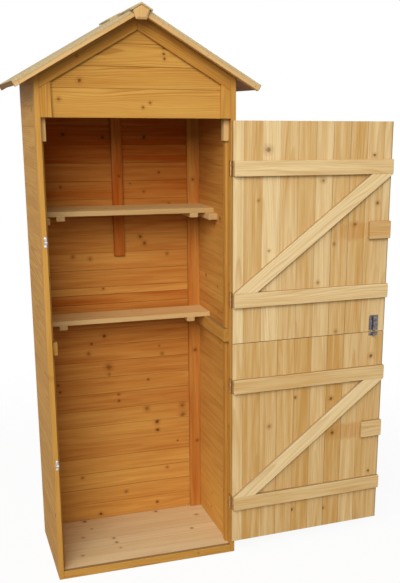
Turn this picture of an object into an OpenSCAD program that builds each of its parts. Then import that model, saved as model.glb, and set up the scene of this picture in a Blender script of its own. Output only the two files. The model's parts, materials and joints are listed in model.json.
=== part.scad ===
// Garden tool shed: a tall, narrow timber cupboard with a gable roof, an open front, two shelves
// and two stacked door leaves, both hung on the right-hand jamb and swung fully open.
// Millimetres. X runs to the right, Y to the back, Z up; the origin is the centre of the base.

/* [Body] */
// Width over the two side walls
body_w = 620; // [480:1:820]
// Depth from the front edges to the back of the back wall
body_d = 382; // [320:1:560]
// Thickness of the side and back walls
wall_t = 16; // [12:1:22]
// Height of the underside of the front gable above the ground
lintel_h = 1500; // [1300:1:1800]
// Height of the joint between the lower and the upper wall panels
panel_split_h = 891; // [700:1:1100]
// Depth of the upright that closes the front of each side wall
stile_d = 40; // [30:1:60]

/* [Floor] */
// Height of the floor's top face above the ground
floor_h = 28; // [24:1:50]
// Thickness of the floor boards
floor_t = 12; // [9:1:18]
// Width of each bearer under the floor, and thickness of the front strip
bearer_w = 30; // [20:1:50]
// Thickness of the strip across the front of the floor
lip_t = 16; // [12:1:22]

/* [Inner battens] */
// Thickness of the upright strips inside the side walls
strip_t = 8; // [6:1:12]
// Depth of the front pair of strips
strip_d = 25; // [15:1:40]
// Width of the battens in the back corners
corner_w = 43; // [30:1:60]
// Thickness of all battens on the back wall
batten_t = 12; // [9:1:18]
// Width of the centre batten on the back wall
centre_w = 37; // [25:1:60]
// Height of the centre batten's foot above the ground
centre_foot_h = 1028; // [900:1:1120]
// Thickness of the cleats behind the front gable
cleat_t = 16; // [10:1:20]
// Depth of the cleats behind the front gable
cleat_d = 28; // [18:1:40]
// How far the cleats hang below the gable
cleat_drop = 69; // [30:1:90]

/* [Shelves] */
// Height of the middle rails that carry the lower shelf
rail_h = 43; // [30:1:55]
// Thickness of the middle rails
rail_t = 18; // [12:1:24]
// Depth of the lower shelf
lower_shelf_d = 121; // [90:1:200]
// Depth of the upper shelf
upper_shelf_d = 171; // [120:1:220]
// Thickness of the shelf boards
shelf_t = 16; // [12:1:22]
// Clear height from the lower shelf's underside to the upper shelf's underside
shelf_rise = 373; // [300:1:450]
// Width of the rails that carry the upper shelf
upper_rail_w = 30; // [20:1:40]
// Height of the rails that carry the upper shelf
upper_rail_h = 20; // [14:1:28]
// How far the upper rails run out in front of the upper shelf
upper_rail_out = 43; // [10:1:70]
// Width of the battens under each shelf
shelf_batten_w = 27; // [20:1:40]
// Height of the battens under each shelf
shelf_batten_h = 15; // [10:1:20]
// Distance of the shelf battens from the side walls
shelf_batten_in = 56; // [45:1:90]

/* [Doors] */
// Gap between the closed leaves and the jambs, the gable and the floor
door_gap = 5; // [5:0.5:8]
// Gap between the lower and the upper leaf
seam_gap = 2; // [1:0.5:6]
// Height of the lower leaf's bottom edge above the floor
sill_gap = 22; // [10:1:40]
// Thickness of the door boards
door_t = 12; // [10:1:16]
// Height of the ledges across the leaves, and width of the braces
ledge_h = 49; // [35:1:60]
// Thickness of the ledges and braces
ledge_t = 15; // [12:1:20]
// Distance of each ledge from its end of the leaf
ledge_in = 123; // [90:1:150]
// Width of the block behind each outside bolt
block_w = 82; // [74:1:110]
// Height of the block behind each outside bolt
block_h = 60; // [45:1:80]
// Angle at which the open leaves stand, counted from closed
door_open = 182; // [120:1:184]

/* [Gable and roof] */
// Pitch of the roof in degrees
pitch = 30; // [25:0.5:38]
// Height of the side walls' outer faces above the gable's underside
gable_side_h = 120; // [110:1:180]
// Thickness of the gable boards and trims
gable_t = 12; // [9:1:16]
// Width of the upright trims at the ends of the gable
gable_trim_w = 33; // [25:1:45]
// Width of the sloping trims under the roof
rake_trim_w = 40; // [30:1:50]
// Thickness of the roof boards
roof_t = 14; // [10:1:20]
// Overhang of the eaves beyond the side walls
eave_over = 65; // [50:1:120]
// Overhang of the roof beyond the front
verge_over = 50; // [30:1:80]
// Overhang of the roof beyond the back
rear_over = 20; // [20:1:80]
// Depth of the bargeboards, square to the slope
barge_h = 18; // [16:1:40]
// Thickness of the bargeboards
barge_t = 18; // [12:1:24]
// Thickness of the roofing felt
felt_t = 2; // [2:0.5:4]
// Length of the folded felt patch over each end of the ridge
patch_l = 180; // [60:1:200]
// Width of each patch down each side of the ridge
patch_w = 37; // [32:1:70]
// Thickness of the patches
patch_t = 5; // [2:0.5:8]
// Width of the finials under the patches
finial_w = 52; // [40:1:54]
// Height of the finials
finial_h = 41; // [36:1:70]
// Width of the finials across the foot
finial_foot_w = 31; // [20:1:39]
// Thickness of the finials
finial_t = 12; // [8:1:18]

/* [Hinges and bolts] */
// Height of each butt hinge
hinge_h = 48; // [36:1:60]
// Width of each hinge leaf
hinge_leaf_w = 15; // [12:1:15]
// Thickness of each hinge leaf
hinge_leaf_t = 1.5; // [1:0.1:1.8]
// Radius of the hinge knuckles
knuckle_r = 3.5; // [3:0.1:4]
// Radius of the hinge pins
hinge_pin_r = 1.75; // [1.2:0.05:2]
// Radius of the sliding bolts
bolt_r = 3.5; // [3:0.1:4]
// Length of each bolt's back plate
bolt_plate_l = 56; // [50:1:70]
// Width of each bolt's back plate
bolt_plate_w = 36; // [30:1:44]
// Length of each strap that holds a bolt down
bolt_loop_l = 12; // [8:1:14]
// Distance from the edge of the left jamb to the seam bolt's plate
seam_bolt_in = 31; // [26:1:60]

/* [Hidden] */
$fn = 48;

inner_x = body_w / 2 - wall_t;         // inner face of the side walls
back_in = body_d - wall_t;             // inner face of the back wall, from the front
back_batten = back_in - batten_t;      // front face of the battens on the back wall
door_stop = door_t + door_gap;         // what stands behind the closed boards starts here
ledge_stop = door_stop + ledge_t;      // and what stands behind the closed ledges starts here

// Door leaves, in the closed position
hinge_edge_x = inner_x - door_gap;
leaf_w = 2 * hinge_edge_x;
stack_bottom = floor_h + sill_gap;
stack_top = lintel_h - door_gap;
leaf_h = (stack_top - stack_bottom - seam_gap) / 2;
upper_leaf_z = stack_top - leaf_h;
ledge_in_all = leaf_h - ledge_in - ledge_h;
block_z = (leaf_h - block_h) / 2;
brace_rise = ledge_in_all - ledge_in - ledge_h;
brace_run = leaf_w - 1.6 * ledge_h;
brace_w = ledge_h * norm([brace_run, brace_rise]) / brace_rise;

// Hinges stand on one upright line, in the gap beside the jamb and just in front of the boards
axis_x = inner_x - door_gap / 2;
axis_d = -knuckle_r;
pin_clear = 0.1;                       // radial running clearance of pins in knuckles
knuckle_gap = 0.4;                     // end clearance between knuckles
hinge_cut = 1;                         // clearance of a leaf around its partner's knuckle

// Shelves
rail_bottom = upper_leaf_z;
lower_shelf_z = rail_bottom + rail_h;
upper_shelf_z = lower_shelf_z + shelf_rise;
lower_shelf_front = back_batten - lower_shelf_d;
upper_shelf_front = back_batten - upper_shelf_d;

// Roof
eave_x = body_w / 2 + eave_over;
function drop(t) = t / cos(pitch);     // upright depth of a layer t thick on the slope
wall_top_z = lintel_h + gable_side_h;
under_ridge_z = wall_top_z + body_w / 2 * tan(pitch);
ridge_z = under_ridge_z + drop(roof_t);
function under_z(x) = under_ridge_z - abs(x) * tan(pitch);
function roof_z(x) = ridge_z - abs(x) * tan(pitch);

// Sliding bolts
bolt_clear = 0.3;                      // radial clearance of a bolt in its case and keeper
bolt_plate_t = 1.5;
case_r = bolt_r + bolt_clear + 1.5;
bolt_axis_d = bolt_plate_t + bolt_r + bolt_clear + 0.2;
keeper_w = 9;
keeper_h = 33;
seam_keeper_w = 12;
bolt_end = 3;                          // from a board's edge to a bolt's case
knob_r = 2.5;
knob_h = 14;                           // the finger knob, from the bolt's own axis
knob_x = bolt_loop_l + bolt_end + knob_r + 1 - bolt_plate_l;
seam_bolt_a = leaf_w + door_gap - seam_bolt_in - bolt_plate_w / 2;
upper_bolt_z = upper_leaf_z + leaf_h / 2;
lower_bolt_z = stack_bottom + leaf_h / 2;

wood_tan = "#e0a55c";
wood_pale = "#ecc98e";
wood_dark = "#c98a45";
zinc = "#b9bcc0";
felt_grey = "#70736f";

function front(d) = d - body_d / 2;    // Y of a point d behind the front edges

// A box from its limits: across, back from the front edges, and up
module box(x, d, z) {
    translate([x[0], front(d[0]), z[0]])
        cube([x[1] - x[0], d[1] - d[0], z[1] - z[0]]);
}

// An outline in X and Z, given depth from the front edges. It is drawn about the level of the
// gable's underside, where short numbers keep the sloping faces true to each other
module slab(d, points) {
    translate([0, front(d[1]), lintel_h])
        rotate([90, 0, 0])
            linear_extrude(d[1] - d[0])
                polygon([for (p = points) [p[0], p[1] - lintel_h]]);
}

module both_sides() {
    children();
    mirror([1, 0, 0]) children();
}

// ---------------------------------------------------------------- floor

module floor_bearers() {
    color(wood_dark)
        for (d = [lip_t, (body_d - bearer_w) / 2, back_in - bearer_w])
            box([-inner_x, inner_x], [d, d + bearer_w], [0, floor_h - floor_t]);
}

module floor_boards() {
    color(wood_tan)
        box([-inner_x, inner_x], [lip_t, back_in], [floor_h - floor_t, floor_h]);
}

module floor_front_strip() {
    color(wood_tan) box([-inner_x, inner_x], [0, lip_t], [0, floor_h]);
}

// ---------------------------------------------------------------- walls

// One side's outline from z0 up to the roof, between two X values (x1 is the outer face)
function side_outline(x0, x1, z0) =
    [[x0, z0], [x1, z0], [x1, under_z(x1)], [x0, under_z(x0)]];

module front_stiles() {
    color(wood_tan) both_sides()
        slab([0, stile_d], side_outline(inner_x, body_w / 2, 0));
}

module side_wall_lower() {
    color(wood_tan)
        box([inner_x, body_w / 2], [stile_d, body_d], [0, panel_split_h]);
}

module side_wall_upper() {
    color(wood_tan)
        slab([stile_d, body_d], side_outline(inner_x, body_w / 2, panel_split_h));
}

module left_wall_lower() { mirror([1, 0, 0]) side_wall_lower(); }
module right_wall_lower() { side_wall_lower(); }
module left_wall_upper() { mirror([1, 0, 0]) side_wall_upper(); }
module right_wall_upper() { side_wall_upper(); }

module back_wall_lower() {
    color(wood_tan)
        box([-inner_x, inner_x], [back_in, body_d], [0, panel_split_h]);
}

module back_wall_upper() {
    color(wood_tan)
        box([-inner_x, inner_x], [back_in, body_d], [panel_split_h, lintel_h]);
}

// A gable's outline over the whole inner width, from z0 up to the roof boards
function gable_outline(z0) =
    [[-inner_x, z0], [inner_x, z0], [inner_x, under_z(inner_x)],
     [0, under_ridge_z], [-inner_x, under_z(inner_x)]];

module rear_gable_panel() {
    color(wood_tan) slab([back_in, body_d], gable_outline(lintel_h));
}

// ---------------------------------------------------------------- inner battens

module front_strips() {
    color(wood_tan) both_sides() {
        box([inner_x - strip_t, inner_x], [ledge_stop, ledge_stop + strip_d],
            [floor_h, rail_bottom]);
        box([inner_x - strip_t, inner_x], [ledge_stop, ledge_stop + strip_d],
            [lower_shelf_z, lintel_h - cleat_drop]);
    }
}

// One batten in each back corner, and a short one down the middle
module back_battens() {
    color(wood_tan) {
        both_sides()
            box([inner_x - corner_w, inner_x], [back_batten, back_in], [floor_h, lintel_h]);
        box([-centre_w / 2, centre_w / 2], [back_batten, back_in], [centre_foot_h, lintel_h]);
    }
}

module gable_cleats() {
    color(wood_pale) both_sides()
        box([inner_x - cleat_t, inner_x], [2 * gable_t, 2 * gable_t + cleat_d],
            [lintel_h - cleat_drop, lintel_h + gable_side_h / 2]);
}

// ---------------------------------------------------------------- shelves

module middle_rails() {
    color(wood_tan) both_sides()
        box([inner_x - rail_t, inner_x], [door_stop, back_batten], [rail_bottom, lower_shelf_z]);
}

module shelf(front_d, z) {
    color(wood_pale) box([-inner_x, inner_x], [front_d, back_batten], [z, z + shelf_t]);
}

module lower_shelf() { shelf(lower_shelf_front, lower_shelf_z); }
module upper_shelf() { shelf(upper_shelf_front, upper_shelf_z); }

// Two battens run from front to back under each shelf
module shelf_battens() {
    far = inner_x - shelf_batten_in;
    for (at = [[lower_shelf_front, lower_shelf_z], [upper_shelf_front, upper_shelf_z]])
        color(wood_pale) both_sides()
            box([far - shelf_batten_w, far], [at[0], back_batten], [at[1] - shelf_batten_h, at[1]]);
}

module upper_shelf_rails() {
    color(wood_pale) both_sides()
        box([inner_x - upper_rail_w, inner_x], [upper_shelf_front - upper_rail_out, back_batten],
            [upper_shelf_z - upper_rail_h, upper_shelf_z]);
}

// ---------------------------------------------------------------- gable

module gable_panel() {
    color(wood_tan) slab([gable_t, 2 * gable_t], gable_outline(lintel_h));
}

rake_low = drop(rake_trim_w);          // upright depth of the sloping trims

module gable_end_trims() {
    x0 = inner_x - gable_trim_w;
    color(wood_tan) both_sides()
        slab([0, gable_t], [
            [x0, lintel_h], [inner_x, lintel_h],
            [inner_x, under_z(inner_x) - rake_low], [x0, under_z(x0) - rake_low]
        ]);
}

// The two sloping trims meet on the centre line, so they are one node and one solid
module gable_rake_trims() {
    color(wood_dark)
        slab([0, gable_t], [
            [-inner_x, under_z(inner_x) - rake_low], [0, under_ridge_z - rake_low],
            [inner_x, under_z(inner_x) - rake_low], [inner_x, under_z(inner_x)],
            [0, under_ridge_z], [-inner_x, under_z(inner_x)]
        ]);
}

// ---------------------------------------------------------------- roof

// The roof's end at the eaves, square to the slope, `up` above the top of the roof boards
function eave_point(up) = [eave_x + up * sin(pitch), roof_z(eave_x) + up * cos(pitch)];

// A layer on the right-hand slope: its top lies `up` above the roof boards' top, square to the slope
function slope_outline(up, t) =
    [[0, ridge_z + drop(up)], eave_point(up), eave_point(up - t), [0, ridge_z + drop(up - t)]];

roof_from = -verge_over;               // front and back ends of the felt, from the front edges
roof_to = body_d + rear_over;

module roof_boards() {
    color(wood_tan)
        slab([roof_from + barge_t, roof_to - barge_t], slope_outline(0, roof_t));
}

// A folded patch lies on the felt at each end of the ridge and runs out over the finial there
module roof_felt() {
    top = [0, ridge_z + drop(felt_t)];
    foot = top + patch_w * [cos(pitch), -sin(pitch)];
    patch = [top + [0, drop(patch_t)], foot + patch_t * [sin(pitch), cos(pitch)], foot];
    sheet = [eave_point(felt_t), eave_point(0), [0, ridge_z]];
    out = finial_t + 1;
    color(felt_grey) {
        slab([roof_from, roof_to], concat([top, foot], sheet));
        for (d = [roof_from, roof_to + out - patch_l])
            slab([d, d + patch_l - out], concat(patch, sheet));
        for (d = [roof_from - out, roof_to - 1])
            slab([d, d + out + 1], concat(patch, [top]));
    }
}

module left_roof_boards() { mirror([1, 0, 0]) roof_boards(); }
module right_roof_boards() { roof_boards(); }
module left_roof_felt() { mirror([1, 0, 0]) roof_felt(); }
module right_roof_felt() { roof_felt(); }

// The pair of bargeboards over the front and the pair over the back, mitred on the centre line
module bargeboards() {
    low = eave_point(-barge_h);
    high = eave_point(0);
    for (d = [roof_from, roof_to - barge_t])
        color(wood_pale)
            slab([d, d + barge_t], [
                [-low[0], low[1]], [0, ridge_z - drop(barge_h)], low,
                high, [0, ridge_z], [-high[0], high[1]]
            ]);
}

// A five-sided plaque covers each joint of the bargeboards, under the felt
module finials() {
    top = ridge_z + drop(felt_t);
    side = top - finial_w / 2 * tan(pitch);
    for (d = [roof_from - finial_t, roof_to])
        color(wood_pale)
            slab([d, d + finial_t], [
                [0, top], [-finial_w / 2, side], [-finial_foot_w / 2, top - finial_h],
                [finial_foot_w / 2, top - finial_h], [finial_w / 2, side]
            ]);
}

// ---------------------------------------------------------------- doors

// Children are placed in the closed door and swung to the open position on the hinge line
module swung() {
    translate([axis_x, front(axis_d), 0])
        rotate([0, 0, door_open])
            translate([-axis_x, -front(axis_d), 0])
                children();
}

// A box on a closed leaf: a runs from the hinge edge, d from the outer face inwards
module leaf_box(a, d, z) {
    box([hinge_edge_x - a[1], hinge_edge_x - a[0]], d, z);
}

module door_boards(z) {
    color(wood_pale) swung() leaf_box([0, leaf_w], [0, door_t], [z, z + leaf_h]);
}

module door_ledges(z) {
    color(wood_pale) swung()
        for (up = [ledge_in, ledge_in_all])
            leaf_box([0, leaf_w], [door_t, door_t + ledge_t], [z + up, z + up + ledge_h]);
}

// From the hinge end of the lower ledge up to the free end of the upper ledge
module door_brace(z) {
    foot = z + ledge_in + ledge_h;
    head = z + ledge_in_all;
    color(wood_pale) swung()
        slab([door_t, door_t + ledge_t], [
            [hinge_edge_x, foot], [hinge_edge_x - brace_w, foot],
            [hinge_edge_x - leaf_w, head], [hinge_edge_x - leaf_w + brace_w, head]
        ]);
}

module door_block(z) {
    color(wood_dark) swung()
        leaf_box([leaf_w - block_w, leaf_w], [door_t, door_t + ledge_t],
                 [z + block_z, z + block_z + block_h]);
}

module upper_door_boards() { door_boards(upper_leaf_z); }
module upper_door_ledges() { door_ledges(upper_leaf_z); }
module upper_door_brace() { door_brace(upper_leaf_z); }
module upper_door_block() { door_block(upper_leaf_z); }
module lower_door_boards() { door_boards(stack_bottom); }
module lower_door_ledges() { door_ledges(stack_bottom); }
module lower_door_brace() { door_brace(stack_bottom); }
module lower_door_block() { door_block(stack_bottom); }

// ---------------------------------------------------------------- hinges

// Middle heights of the hinges on a leaf whose bottom edge is at z: one behind each ledge's end
function hinge_heights(z) = [z + ledge_in + ledge_h / 2, z + ledge_in_all + ledge_h / 2];

module knuckle(z0, z1, r) {
    translate([axis_x, front(axis_d), z0]) cylinder(r = r, h = z1 - z0);
}

third = hinge_h / 3;

// The leaf on the jamb carries the two outer knuckles and the pin
module jamb_hinge_leaf(mid) {
    bottom = mid - hinge_h / 2;
    reach = axis_d + knuckle_r + hinge_cut;
    for (k = [0, 2]) {
        z0 = bottom + k * third;
        knuckle(z0, z0 + third, knuckle_r);
        box([inner_x - hinge_leaf_t, inner_x], [axis_d + 1, hinge_leaf_w], [z0, z0 + third]);
    }
    box([inner_x - hinge_leaf_t, inner_x], [reach, hinge_leaf_w], [bottom, bottom + hinge_h]);
    knuckle(bottom, bottom + hinge_h, hinge_pin_r);
}

// The leaf on the door's edge carries the bored middle knuckle
module door_hinge_leaf(mid) {
    bottom = mid - hinge_h / 2;
    reach = axis_d + knuckle_r + hinge_cut;
    z0 = bottom + third + knuckle_gap;
    z1 = bottom + 2 * third - knuckle_gap;
    x = [hinge_edge_x, hinge_edge_x + hinge_leaf_t];
    difference() {
        union() {
            knuckle(z0, z1, knuckle_r);
            box(x, [axis_d + 1, hinge_leaf_w], [z0, z1]);
            box(x, [reach, hinge_leaf_w], [bottom, bottom + hinge_h]);
        }
        knuckle(bottom - 1, bottom + hinge_h + 1, hinge_pin_r + pin_clear);
    }
}

module jamb_hinge_leaves() {
    color(zinc)
        for (z = [stack_bottom, upper_leaf_z])
            for (mid = hinge_heights(z)) jamb_hinge_leaf(mid);
}

module door_hinge_leaves(z) {
    color(zinc) swung()
        for (mid = hinge_heights(z)) door_hinge_leaf(mid);
}

module upper_door_hinge_leaves() { door_hinge_leaves(upper_leaf_z); }
module lower_door_hinge_leaves() { door_hinge_leaves(stack_bottom); }

// ---------------------------------------------------------------- bolts

// A barrel bolt's case lying on a board: +X is the way the bolt shoots, Z stands off the board,
// and the case's own end is at the origin
module bolt_case() {
    difference() {
        union() {
            translate([-bolt_plate_l, -bolt_plate_w / 2, 0])
                cube([bolt_plate_l, bolt_plate_w, bolt_plate_t]);
            for (x = [bolt_end - bolt_plate_l, -bolt_end - bolt_loop_l])
                translate([x, 0, 0]) bolt_loop(bolt_loop_l);
        }
        translate([-bolt_plate_l - 1, 0, bolt_axis_d])
            rotate([0, 90, 0]) cylinder(r = bolt_r + bolt_clear, h = bolt_plate_l + 2);
    }
}

// The strap that holds the bolt down, l long
module bolt_loop(l) {
    translate([0, 0, bolt_axis_d]) rotate([0, 90, 0]) cylinder(r = case_r, h = l);
    translate([0, -case_r, 0]) cube([l, 2 * case_r, bolt_axis_d]);
}

// The bolt itself, drawn back so that its nose is 1 mm inside the case's end, with its finger knob
module bolt_rod() {
    translate([-bolt_plate_l + 2, 0, bolt_axis_d])
        rotate([0, 90, 0]) cylinder(r = bolt_r, h = bolt_plate_l - 3);
    translate([knob_x, 0, bolt_axis_d]) cylinder(r = knob_r, h = knob_h);
}

// A keeper: a plate with one loop, of width w along the bolt and height h across it
module keeper(w, h) {
    difference() {
        union() {
            translate([0, -h / 2, 0]) cube([w, h, bolt_plate_t]);
            bolt_loop(w);
        }
        translate([-1, 0, bolt_axis_d])
            rotate([0, 90, 0]) cylinder(r = bolt_r + bolt_clear, h = w + 2);
    }
}

// Outside bolt: its case ends short of the free edge and it shoots to the left
module on_outer_face(z) {
    translate([hinge_edge_x - leaf_w + bolt_end, front(0), z])
        rotate([90, 0, 0]) mirror([1, 0, 0]) children();
}

// Inside bolt: its case ends above the seam and it shoots down
module on_inner_face(z) {
    translate([hinge_edge_x - seam_bolt_a, front(door_t), z])
        rotate([-90, 0, 0]) rotate([0, 0, 90]) children();
}

module upper_door_bolt_irons() {
    color(zinc) swung() {
        on_outer_face(upper_bolt_z) bolt_case();
        on_inner_face(upper_leaf_z + bolt_end) bolt_case();
    }
}

module lower_door_bolt_irons() {
    color(zinc) swung() {
        on_outer_face(lower_bolt_z) bolt_case();
        on_inner_face(upper_leaf_z - seam_gap - 1) keeper(seam_keeper_w, bolt_plate_w);
    }
}

module upper_door_bolt() { color(zinc) swung() on_outer_face(upper_bolt_z) bolt_rod(); }
module lower_door_bolt() { color(zinc) swung() on_outer_face(lower_bolt_z) bolt_rod(); }
module seam_bolt() { color(zinc) swung() on_inner_face(upper_leaf_z + bolt_end) bolt_rod(); }

module bolt_keepers() {
    color(zinc)
        for (z = [upper_bolt_z, lower_bolt_z])
            translate([-inner_x - 0.5, front(0), z])
                rotate([90, 0, 0]) mirror([1, 0, 0]) keeper(keeper_w, keeper_h);
}

floor_bearers();
floor_boards();
floor_front_strip();
front_stiles();
left_wall_lower();
left_wall_upper();
right_wall_lower();
right_wall_upper();
back_wall_lower();
back_wall_upper();
front_strips();
back_battens();
middle_rails();
lower_shelf();
upper_shelf_rails();
upper_shelf();
shelf_battens();
gable_panel();
gable_end_trims();
gable_rake_trims();
gable_cleats();
rear_gable_panel();
left_roof_boards();
right_roof_boards();
left_roof_felt();
right_roof_felt();
bargeboards();
finials();
bolt_keepers();
jamb_hinge_leaves();
upper_door_boards();
upper_door_ledges();
upper_door_brace();
upper_door_block();
upper_door_hinge_leaves();
upper_door_bolt_irons();
upper_door_bolt();
seam_bolt();
lower_door_boards();
lower_door_ledges();
lower_door_brace();
lower_door_block();
lower_door_hinge_leaves();
lower_door_bolt_irons();
lower_door_bolt();
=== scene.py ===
"""Looks of a tall, narrow garden shed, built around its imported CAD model.

Every timber of the CAD model is replaced with the boards that the real one is nailed up from: tongued boards
in the walls, doors, floor and roof, planed battens and ledges elsewhere. Each board is a closed shell that
carries its own grain coordinates, so one wood material draws growth rings, knots and stain on all of them.
The bolts, keepers and hinges are rebuilt as pressed and plated metal. Sizes are millimetres until a mesh is
made; the frame is the CAD model's own, X to the right, Y to the back and Z up.
"""

import json
import logging
import math
from collections.abc import Callable, Sequence
from dataclasses import dataclass, field
from enum import Enum

import bpy
import numpy as np
from mathutils import Matrix, Vector


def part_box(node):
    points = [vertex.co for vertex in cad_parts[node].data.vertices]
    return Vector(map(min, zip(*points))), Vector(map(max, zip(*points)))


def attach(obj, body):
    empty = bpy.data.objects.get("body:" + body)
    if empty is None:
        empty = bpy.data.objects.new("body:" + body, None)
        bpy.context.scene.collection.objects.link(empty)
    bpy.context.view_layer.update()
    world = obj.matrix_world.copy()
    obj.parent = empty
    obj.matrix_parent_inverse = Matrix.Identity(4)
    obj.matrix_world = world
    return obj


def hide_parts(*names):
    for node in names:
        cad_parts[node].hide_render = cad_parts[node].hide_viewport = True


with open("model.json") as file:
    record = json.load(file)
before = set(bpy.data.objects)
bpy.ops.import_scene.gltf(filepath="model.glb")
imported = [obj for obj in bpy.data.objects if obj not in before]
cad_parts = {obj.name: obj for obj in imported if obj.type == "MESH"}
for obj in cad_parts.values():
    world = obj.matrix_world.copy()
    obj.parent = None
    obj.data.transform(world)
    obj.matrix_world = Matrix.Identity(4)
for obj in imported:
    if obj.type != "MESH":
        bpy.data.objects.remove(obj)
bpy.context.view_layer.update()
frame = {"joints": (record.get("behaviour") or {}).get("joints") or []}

logging.basicConfig(level=logging.INFO, format="%(message)s")
log = logging.getLogger("shed")

MM = 0.001
X, Y, Z = np.eye(3)

Ends = Callable[[np.ndarray, np.ndarray], np.ndarray]


class Leaf(Enum):
    """The two door leaves, each named as its CAD body is."""

    UPPER = "upper_door"
    LOWER = "lower_door"


# ------------------------------------------------------------------ meshes


@dataclass
class Shell:
    """One closed surface: points in millimetres, its faces, and values that ride on its points."""

    points: np.ndarray
    corners: np.ndarray
    counts: np.ndarray
    values: dict[str, np.ndarray] = field(default_factory=dict)

    def placed(self, turn: np.ndarray, origin: Sequence[float]) -> "Shell":
        """Carries the shell through a 3 by 3 matrix and a shift, turning faces over if it mirrors.

        Args:
            turn: columns are where the local X, Y and Z axes go.
            origin: where the local origin goes, in millimetres.

        Returns:
            The moved shell.
        """
        moved = Shell(self.points @ np.asarray(turn, float).T + np.asarray(origin, float), self.corners,
                      self.counts, self.values)
        return moved.flipped() if np.linalg.det(turn) < 0 else moved

    def flipped(self) -> "Shell":
        """The same shell with every face turned over: each face's corners are listed backwards."""
        ends = np.cumsum(self.counts)
        owner = np.repeat(np.arange(len(self.counts)), self.counts)
        place = np.arange(len(self.corners))
        start = (ends - self.counts)[owner]
        return Shell(self.points, self.corners[ends[owner] - 1 - (place - start)], self.counts, self.values)


def ring_faces(rings: int, around: int) -> tuple[np.ndarray, np.ndarray]:
    """Faces of a stack of closed rings with a flat cap on the first and the last.

    Args:
        rings: how many rings are stacked.
        around: points in each ring, which runs counter-clockwise seen from the last ring's side.

    Returns:
        The corner list and the number of corners of each face.
    """
    r, k = np.meshgrid(np.arange(rings - 1), np.arange(around), indexing="ij")
    n = (k + 1) % around
    quads = np.stack([r * around + k, r * around + n, (r + 1) * around + n, (r + 1) * around + k], -1)
    first = np.arange(around)[::-1]
    last = np.arange(around) + (rings - 1) * around
    corners = np.concatenate([quads.ravel(), first, last])
    return corners, np.concatenate([np.full(quads.size // 4, 4), [around, around]])


def prism(outline: np.ndarray, depth: float, arris: float, bevel: tuple[float, float] | None = None) -> Shell:
    """A flat plate: the outline in local X and Y, carried along Z from 0 to depth.

    Its rim is eased by starting and ending on the outline shrunk towards its middle by the arris.

    Args:
        outline: points of the outline, counter-clockwise.
        depth: thickness of the plate.
        arris: width of the eased edge.
        bevel: width and depth of a wider bevel round the far face, if it has one.

    Returns:
        The plate as a closed shell.
    """
    outline = np.asarray(outline, float)
    mid = (outline.min(0) + outline.max(0)) / 2
    half = (outline.max(0) - outline.min(0)) / 2
    wide, deep = bevel or (arris, arris)
    rings = np.stack([mid + (outline - mid) * (1 - w / half) for w in (arris, 0.0, 0.0, wide)])
    heights = np.array([0, arris, depth - deep, depth])[:, None] * np.ones(len(outline))
    points = np.concatenate([rings, heights[..., None]], -1).reshape(-1, 3)
    return Shell(points, *ring_faces(4, len(outline)))


def turned(profile: Sequence[tuple[float, float]], around: int = 16) -> Shell:
    """A round part: a profile of radius and height turned about the local Z axis.

    Each ring is radius times (cos, sin) of the turn at its height; the end rings are capped flat.

    Args:
        profile: (radius, height) pairs from the bottom up, every radius above zero.
        around: points in each ring.

    Returns:
        The part as a closed shell.
    """
    radius, height = np.asarray(profile, float).T
    turn = np.linspace(0, 2 * np.pi, around, endpoint=False)
    rings = np.stack(
        [radius[:, None] * np.cos(turn), radius[:, None] * np.sin(turn), height[:, None] + 0 * turn], -1
    )
    return Shell(rings.reshape(-1, 3), *ring_faces(len(radius), around))


def rounded(width: float, height: float, radius: float, steps: int = 4) -> np.ndarray:
    """Outline of a rectangle about the origin, each corner a quarter circle of the given radius."""
    turn = np.linspace(0, np.pi / 2, steps + 1)
    quarter = np.stack([np.cos(turn), np.sin(turn)], -1) * radius
    centre = np.array([width / 2 - radius, height / 2 - radius])
    spin = np.array([[0, -1], [1, 0]])
    outline, sign = [], np.array([1.0, 1.0])
    for _ in range(4):
        outline.append(quarter + centre * sign)
        quarter = quarter @ spin.T
        sign = np.array([-sign[1], sign[0]])
    return np.concatenate(outline)


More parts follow.
